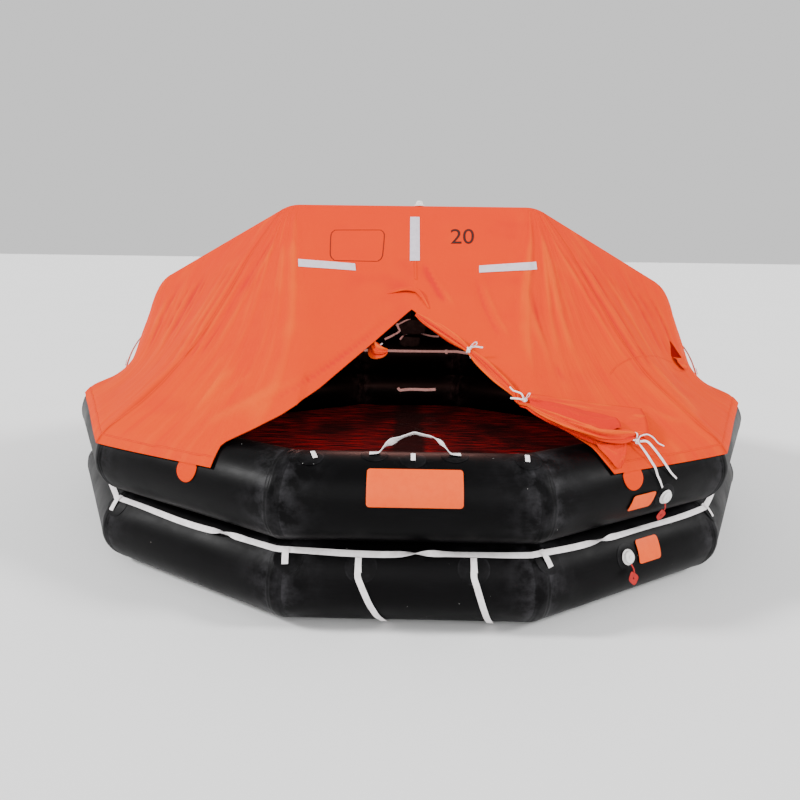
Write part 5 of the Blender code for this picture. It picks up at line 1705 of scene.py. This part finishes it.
def tag_plate(name, centre, across, down, out, radius):
    """A rounded diamond of soft plastic with a raised rim and an eyelet."""
    rings, steps, points = 6, 40, []
    for r in range(rings + 1):
        for k in range(steps):
            angle = 2 * math.pi * k / steps
            reach = radius * (1 - 0.16 * abs(math.sin(2 * angle)) ** 1.5) * (0.16 + 0.84 * r / rings)
            rim = 0.0008 if r >= rings - 1 else 0.0
            bend = -0.10 * (reach * math.sin(angle)) ** 2 / radius
            points.append(centre + across * reach * math.cos(angle) + down * reach * math.sin(angle) + out * (rim + bend))
    faces = []
    for r in range(rings):
        a, b = r * steps, (r + 1) * steps
        faces += [(a + k, b + k, b + (k + 1) % steps, a + (k + 1) % steps) for k in range(steps)]
    tag = cloth_mesh(name, points, faces)
    thicken(tag, 0.0016)
    bpy.context.view_layer.update()
    evaluated = tag.evaluated_get(bpy.context.evaluated_depsgraph_get())
    mesh = bpy.data.meshes.new_from_object(evaluated)
    tag.modifiers.clear()
    tag.data = mesh
    return tag


def make_valves():
    for which, side, along, degrees, ring in VALVES:
        make_valve(which, side, along, degrees, LOWER_Z if ring == "LOWER" else UPPER_Z)


def make_ladder_straps():
    for hand, along, top, end, lean in (("left", -0.185, 46, -64, 0.11), ("right", 0.240, 48, -64, 0.085)):
        patch = tube_disc(f"ladder_patch_{hand}", 0, -0.175 if hand == "left" else 0.24, 36, LOWER_Z, 0.060)
        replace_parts(give(patch, RUBBER, "rubber"), f"strap_patch_{hand}")
        stations = [(along + lean * max(0.0, (i - 2) / 8), top + (end - top) * i / 10, 0.001 + 0.0015 * (i % 2)) for i in range(11)]
        strap = coloured(tube_strap(f"strap_{hand}", 0, stations, LOWER_Z, 0.023, 0.0022), WHITE_WEBBING)
        fold = [(along, top + 1, 0.0028), (along, top - 8, 0.0042), (along + 0.002, top - 17, 0.0034)]
        fold = coloured(tube_strap(f"fold_{hand}", 0, fold, LOWER_Z, 0.023, 0.0022, spacing=0.005), WHITE_WEBBING)
        made = give(join(f"ladder_webbing_{hand}", [strap, fold]), WHITE_WEBBING, "webbing")
        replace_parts(made, f"ladder_strap_{hand}")


# Where the grab line twists by half a turn, as (side, share of the half side)
TWISTS = {0: 0.10, 1: -0.35, 11: 0.45, 2: 0.2, 10: -0.3, 4: 0.0, 6: 0.3, 8: -0.4}


def make_grab_line():
    """The outer grab line: webbing held by a tab at each corner of the lower tube, slack and twisted between."""
    half = (APOTHEM + TUBE_RADIUS * math.cos(math.radians(54))) * HALF_SIDE
    rng = random.Random(21)
    pieces, centres, across = [], [], []
    for side in range(SIDES):
        normal, _ = side_frame(side)
        sag = rng.uniform(3.0, 6.0)
        twist_at = TWISTS.get(side)
        for i in range(40):
            share = -1 + 2 * i / 40
            degrees = 55.5 - sag * (1 - share * share) + 0.8 * math.sin(5 * share + side)
            turned = 0.35 * math.sin(3.2 * share + side) * (1 - share * share)
            lift = 0.0045
            if twist_at is not None:
                turned += math.pi * smoothstep(twist_at - 0.22, twist_at + 0.22, share)
                lift += 0.010 * math.exp(-((share - twist_at) / 0.16) ** 2)
            angle = math.radians(degrees)
            centres.append(on_tube(side, share * half, degrees, LOWER_Z, lift))
            out = normal * math.cos(angle) + UP * math.sin(angle)
            down = normal * math.sin(angle) - UP * math.cos(angle)
            across.append(down * math.cos(turned) + out * math.sin(turned))
    sign = 1
    for side in range(SIDES):
        for k in range(side * 40, side * 40 + 40):
            across[k] = across[k] * sign
        sign = -sign if side in TWISTS else sign
    line = ribbon("outer_grab_line", centres, across, 0.024, 0.0022, closed=True)
    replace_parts(give(line, WHITE_WEBBING, "webbing"), "lifeline_outer")
    for side in range(SIDES):
        lean = rng.uniform(-0.010, 0.010)
        reach = 17 + rng.uniform(-3, 3)
        along = -half * 0.955
        stations = ((along, 60, 0.0005), (along + lean * 0.3, 55, 0.006), (along + lean, 52 - reach / 2, 0.003), (along + lean * 1.6, 52 - reach, 0.0005))
        pieces.append(coloured(tube_strap(f"tab_{side}", side, stations, LOWER_Z, 0.024, 0.0022, 0.0035, 0.006), WHITE_WEBBING))
        disc = tube_disc(f"corner_patch_{side}", side, along + 0.012, 46, LOWER_Z, 0.055)
        give(disc, RUBBER, "rubber")
    give(join("grab_line_tabs", pieces), WHITE_WEBBING, "webbing")


def make_inner_line():
    centres, across = [], []
    rng = random.Random(5)
    half = (APOTHEM - TUBE_RADIUS * 0.94) * HALF_SIDE
    for side in range(SIDES):
        normal, _ = side_frame(side)
        sag = rng.uniform(1.0, 4.0)
        for i in range(24):
            share = -1 + 2 * i / 24
            degrees = 159 + sag * (1 - share * share)
            angle = math.radians(degrees)
            lift = 0.0035 + 0.004 * (1 - share ** 4)
            centres.append(on_tube(side, share * half, degrees, UPPER_Z, lift))
            out = normal * math.cos(angle) + UP * math.sin(angle)
            down = normal * math.sin(angle) - UP * math.cos(angle)
            turned = 0.4 * math.sin(2.6 * share + side) * (1 - share * share)
            across.append(down * math.cos(turned) + out * math.sin(turned))
    line = ribbon("inner_grab_line", centres, across, 0.022, 0.002, closed=True)
    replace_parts(give(line, WHITE_WEBBING, "webbing"), "lifeline_inner")


def make_handle():
    """The webbing grab handle on top of the front tube, its feet sewn to small doublers."""
    crest = UPPER_Z + TUBE_RADIUS
    y = -APOTHEM
    route = ((-0.152, 0.004), (-0.134, 0.005), (-0.116, 0.008), (-0.100, 0.026), (-0.074, 0.047), (-0.036, 0.066), (0.000, 0.080),
             (0.016, 0.084), (0.042, 0.078), (0.086, 0.067), (0.118, 0.045), (0.136, 0.024), (0.150, 0.008), (0.168, 0.005), (0.188, 0.004))
    centres = smooth_path([(x, y - 0.012, crest + z) for x, z in route], 0.006)
    across = []
    for i, p in enumerate(centres):
        part = i / (len(centres) - 1)
        turn = 0.9 * math.exp(-((part - 0.25) / 0.07) ** 2) - 0.8 * math.exp(-((part - 0.76) / 0.06) ** 2)
        upright = 0.55 * math.sin(math.pi * part)
        across.append(Vector((0, -math.cos(turn + upright), math.sin(turn + upright))))
    handle = ribbon("boarding_handle_webbing", centres, across, 0.028, 0.0035)
    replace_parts(give(handle, WHITE_WEBBING, "webbing"), "boarding_handle")
    for hand, along in (("left", -0.132), ("right", 0.166)):
        give(tube_disc(f"handle_patch_{hand}", 0, along, 86, UPPER_Z, 0.052), RUBBER, "rubber")


def make_white_tabs():
    """Three short webbing tabs on top of the front tube, each on a round doubler."""
    pieces = []
    for i, (along, degrees, lean) in enumerate(((-0.366, 80, 0.018), (0.011, 78, 0.000), (0.435, 79, -0.006))):
        stations = [(along + lean * part, degrees + 8 - 16 * part, 0.0022) for part in (0.0, 0.5, 1.0)]
        pieces.append(coloured(tube_strap(f"white_tab_{i}", 0, stations, UPPER_Z, 0.017, 0.002, spacing=0.006), WHITE_WEBBING))
        give(tube_disc(f"tab_patch_{i}", 0, along, degrees - 4, UPPER_Z, 0.048), RUBBER, "rubber")
    give(join("front_tube_tabs", pieces), WHITE_WEBBING, "webbing")


# Pieces inside, below and behind

def wrinkled_pad(name, place, size, turn, seed, surface, slot, wrinkle=0.004, steps=44):
    """A soft folded pouch with a rounded outline and creased faces, its size along its own axes."""
    spun = Matrix.Rotation(turn, 3, "Z")
    rings = 12
    points, faces = [], []
    for r in range(2 * rings + 1):
        tilt = math.pi * (r / (2 * rings) - 0.5)
        level, reach = math.sin(tilt), math.cos(tilt)
        high = math.copysign(abs(level) ** 0.7, level) if level else 0.0
        wide = max(0.02, reach) ** 0.35
        for k in range(steps):
            angle = 2 * math.pi * k / steps
            square = (abs(math.cos(angle)) ** 5 + abs(math.sin(angle)) ** 5) ** -0.2
            x, y = (size[0] / 2 - wrinkle) * wide * square * math.cos(angle), (size[1] / 2 - wrinkle) * wide * square * math.sin(angle)
            dent = wrinkle * (noise.noise(Vector((x * 16, y * 7, seed))) + 0.6 * noise.noise(Vector((x * 34, y * 20, seed + 3))))
            z = high * (size[2] / 2 - wrinkle) + dent
            points.append(place + spun @ Vector((x + dent, y + dent, z)))
    for r in range(2 * rings):
        a, b = r * steps, (r + 1) * steps
        faces += [(a + k, a + (k + 1) % steps, b + (k + 1) % steps, b + k) for k in range(steps)]
    faces.append(tuple(range(steps - 1, -1, -1)))
    faces.append(tuple(range(2 * rings * steps, (2 * rings + 1) * steps)))
    pad = give(cloth_mesh(name, points, faces), surface, slot)
    return pad


def make_water_pockets():
    """The four ballast pockets, folded flat under the floor."""
    for i in range(4):
        name = f"water_pocket_{i + 1}"
        low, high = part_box(name)
        place = (low + high) / 2
        angle = math.atan2(place.y, place.x)
        size = (0.45, 0.33, (high.z - low.z) - 0.004)
        pad = wrinkled_pad(f"folded_pocket_{i + 1}", place, size, angle + math.pi / 2, 31 + i, DARK_CLOTH, "dark_cloth")
        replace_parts(pad, name)


def make_righting_strap():
    low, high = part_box("righting_strap")
    z = (low.z + high.z) / 2
    line = [Vector((0.006 * math.sin(2.1 * y), y, z)) for y in np.linspace(low.y, high.y, 90)]
    strap = ribbon("righting_webbing", line, [Vector((1, 0, 0))] * len(line), high.x - low.x, (high.z - low.z) * 0.8)
    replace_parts(give(strap, WHITE_WEBBING, "webbing"), "righting_strap")


def make_rescue_bag():
    """The rescue line's bag on the rear tube, its white line tied over it."""
    low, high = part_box("rescue_line_bag")
    middle = (low + high) / 2
    bag = wrinkled_pad("rescue_bag_cloth", middle, (high.x - low.x, high.y - low.y, high.z - low.z), 0.0, 7, DARK_CLOTH, "dark_cloth", 0.006)
    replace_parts(bag, "rescue_line_bag")
    rope = [(-0.085, 1.503, 0.655), (-0.055, 1.512, 0.690), (-0.020, 1.528, 0.707), (0.030, 1.545, 0.709), (0.080, 1.560, 0.706),
            (0.120, 1.585, 0.694), (0.160, 1.605, 0.682), (0.205, 1.625, 0.672), (0.255, 1.640, 0.668)]
    line = coloured(tube_along("rescue_rope_line", smooth_path(rope, 0.006), 0.0085, 12), WHITE_WEBBING)
    turns = []
    for k in range(40):
        angle = 2 * math.pi * k / 10
        turns.append(Vector((0.020 + 0.0016 * k, 1.552 + 0.011 * math.cos(angle), 0.712 + 0.010 * math.sin(angle))))
    coil = coloured(tube_along("rescue_rope_turns", smooth_path(turns, 0.004), 0.004, 8), WHITE_WEBBING)
    give(join("rescue_rope", [line, coil]), WHITE_WEBBING, "webbing")


def make_rear_pouch():
    """A pouch hung on the rear doors' inside, with a piped edge and the strap that holds it."""
    centre = Vector((0.010, 1.455, 0.775))
    pouch = wrinkled_pad("rear_pouch_cloth", centre, (0.27, 0.075, 0.15), 0.0, 15, DARK_CLOTH, "dark_cloth", 0.010)
    edge = [centre + Vector(p) for p in ((-0.130, -0.030, 0.010), (-0.085, -0.038, 0.034), (-0.040, -0.038, 0.058), (0.015, -0.032, 0.076), (0.070, -0.024, 0.072))]
    piping = coloured(tube_along("pouch_piping", smooth_path(edge, 0.006), 0.0065, 10), WHITE_WEBBING)
    down = [centre + Vector(p) for p in ((-0.122, -0.040, 0.030), (-0.110, -0.044, -0.005), (-0.100, -0.044, -0.035), (-0.150, -0.040, -0.070), (-0.225, -0.020, -0.110))]
    across = [Vector((0.9, -0.3, 0.3)).normalized()] * len(smooth_path(down, 0.008))
    strap = coloured(ribbon("pouch_strap", smooth_path(down, 0.008), across, 0.018, 0.0020), WHITE_WEBBING)
    give(join("rear_pouch_webbing", [piping, strap]), WHITE_WEBBING, "webbing")


def make_rear_placket(tree):
    """The tape that covers the rear doors' meeting edges, with a row of short ties across it."""
    tape = laid_ribbon("rear_placket_tape", tree, ((0.0, 1.125), (0.001, 0.98), (-0.001, 0.83), (0.0, 0.70), (0.0, 0.630)), 0.046, 0.0016, -0.0034, rear=True)
    give(tape, CANOPY, "canopy")
    ties = []
    for z in (1.04, 0.94, 0.84, 0.74):
        ties.append(coloured(laid_ribbon("rear_tie", tree, ((-0.034, z), (0.0, z - 0.003), (0.034, z)), 0.010, 0.0016, -0.0012, rear=True, spacing=0.006), WHITE_WEBBING))
        place, normal = on_sheet(tree, 0.0, z - 0.003, 0.001, rear=True)
        ties.append(knot("rear_tie_knot", place, normal, Vector((1, 0, 0)), 0.008))
    give(join("rear_door_ties", ties), WHITE_WEBBING, "webbing")


def make_rear_handle():
    """The webbing strap on the rear lower tube, inside, slack between its feet."""
    stations = ((0.098, 162, 0.001), (0.080, 168, 0.010), (0.052, 167.5, 0.008), (0.010, 166, 0.010), (-0.060, 165.5, 0.012), (-0.150, 166, 0.010), (-0.215, 165, 0.004), (-0.235, 164.5, 0.001))
    strap = coloured(tube_strap("rear_handle_strap", 6, stations, LOWER_Z, 0.024, 0.0024), WHITE_WEBBING)
    tab = ((-0.322, 166, 0.001), (-0.322, 160, 0.009), (-0.320, 154, 0.001))
    tab = coloured(tube_strap("rear_line_tab", 6, tab, UPPER_Z, 0.022, 0.002, spacing=0.005), WHITE_WEBBING)
    give(join("rear_handle_webbing", [strap, tab]), WHITE_WEBBING, "webbing")


def make_cylinder_bands():
    """The webbing bands that hold the gas cylinder."""
    axis = side_frame(5)[1]
    for i in (1, 2):
        name = f"cylinder_band_{i}"
        low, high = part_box(name)
        middle = (low + high) / 2
        reach = (high.z - low.z) / 2 - 0.001
        away = axis.cross(UP).normalized()
        line = [middle + (away * math.cos(t) + UP * math.sin(t)) * reach for t in (2 * math.pi * k / 72 for k in range(72))]
        band = ribbon(f"band_webbing_{i}", line, [axis] * 72, 0.038, 0.0018, closed=True)
        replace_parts(give(band, BLACK_WEBBING, "webbing"), name)


# Floor

def make_floor():
    """The inflated floor: quilted along its length, wrinkled, with a plainer panel down the middle that takes little of
    the floor's painted red reflection.
    """
    low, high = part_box("inflated_floor")
    reach = high.x - 0.002
    rows, spokes = 70, 144
    points, painted_reflection_share = [Vector((0, 0, high.z))], [0.0]
    for r in range(1, rows + 1):
        for k in range(spokes):
            angle = 2 * math.pi * k / spokes
            off = (angle + TURN / 2) % TURN - TURN / 2
            edge = reach / math.cos(off)
            d = edge * r / rows
            x, y = d * math.sin(angle), -d * math.cos(angle)
            middle = 1 - smoothstep(0.10, 0.13, abs(x))
            creases = noise.noise(Vector((x * 2.6, y * 30, 1.3))) * 0.004 + noise.noise(Vector((x * 6, y * 9, 5.1))) * 0.005
            seam = -0.004 * math.exp(-((abs(x) - 0.125) / 0.006) ** 2)
            quilt = -0.003 * math.exp(-(((y / 0.42) % 1.0 - 0.5) / 0.03) ** 2) * (1 - middle)
            rim = smoothstep(0.0, 0.05, edge - d)
            z = high.z + (creases * (1 - 0.5 * middle) + seam + quilt) * rim - 0.004 * (1 - rim)
            points.append(Vector((x, y, min(z, high.z + 0.006))))
            painted_reflection_share.append(1 - 0.93 * middle)
    faces = [(0, 1 + k, 1 + (k + 1) % spokes) for k in range(spokes)]
    for r in range(rows - 1):
        a, b = 1 + r * spokes, 1 + (r + 1) * spokes
        faces += [(a + k, b + k, b + (k + 1) % spokes, a + (k + 1) % spokes) for k in range(spokes)]
    floor = cloth_mesh("raft_floor", points, faces)
    attribute(floor, "painted_reflection_share", painted_reflection_share)
    thicken(floor, high.z - low.z - 0.001)
    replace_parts(give(floor, FLOOR_CLOTH, "floor"), "inflated_floor")


def carried_over():
    """Procedural surfaces for the solids whose own shape shows."""
    looks = (
        (("arch_tube", "inflation_hose", "strap_patch_left", "strap_patch_right", "inflation_valve_lower_patch", "inflation_valve_upper_patch"), RUBBER),
        (("inflated_floor",), FLOOR_CLOTH),
        (("door_roll_right", "door_roll_left", "hem_patch_left", "hem_patch_right"), CANOPY),
        (("boarding_sign", "label_plate_lower", "label_plate_upper"), PLATE),
        (("ladder_strap_left", "ladder_strap_right", "lifeline_outer", "lifeline_inner", "boarding_handle", "righting_strap"), WHITE_WEBBING),
        (("water_pocket_1", "water_pocket_2", "water_pocket_3", "water_pocket_4", "rescue_line_bag"), BLACK_WEBBING),
        (("inflation_valve_lower", "inflation_valve_upper", "ridge_light", "cabin_light"), PLASTIC),
        (("gas_cylinder", "tow_plate"), STEEL),
        (("cylinder_head", "hose_inlet"), BRASS),
    )
    for names, surface in looks:
        for name in names:
            node_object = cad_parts[name]
            if not node_object.hide_render:
                node_object.data.materials.clear()
                node_object.data.materials.append(surface)


def write_sizes():
    corners = [[list(c) for c in box] for box in (CAD_BOX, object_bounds())]


make_camera()
make_tie_tails()
make_stage()
(FRONT_SHEET, FRONT_GRID), (REAR_SHEET, REAR_GRID) = make_canopy()
FRONT_TREE = sheet_tree(FRONT_GRID)
REAR_TREE = sheet_tree(REAR_GRID)
REAR_DOORS = make_rear_doors(REAR_GRID)
SEAMS = make_seams(FRONT_GRID, FRONT_TREE, REAR_GRID, REAR_TREE)
ON_CLOTH = [SEAMS, *make_pleat(FRONT_TREE), *make_tapes(FRONT_TREE), *make_print(FRONT_TREE), make_lookout(FRONT_TREE)]
make_front_door(FRONT_TREE)
make_ties(FRONT_TREE)
make_inner_roll(FRONT_TREE)
make_hem_patches()
make_arch_straps()
make_tubes()
make_floor()
make_signs()
make_valves()
make_ladder_straps()
make_grab_line()
make_inner_line()
make_handle()
make_white_tabs()
make_water_pockets()
make_righting_strap()
make_rescue_bag()
make_rear_pouch()
make_rear_placket(REAR_TREE)
make_rear_handle()
make_cylinder_bands()
carried_over()
write_sizes()
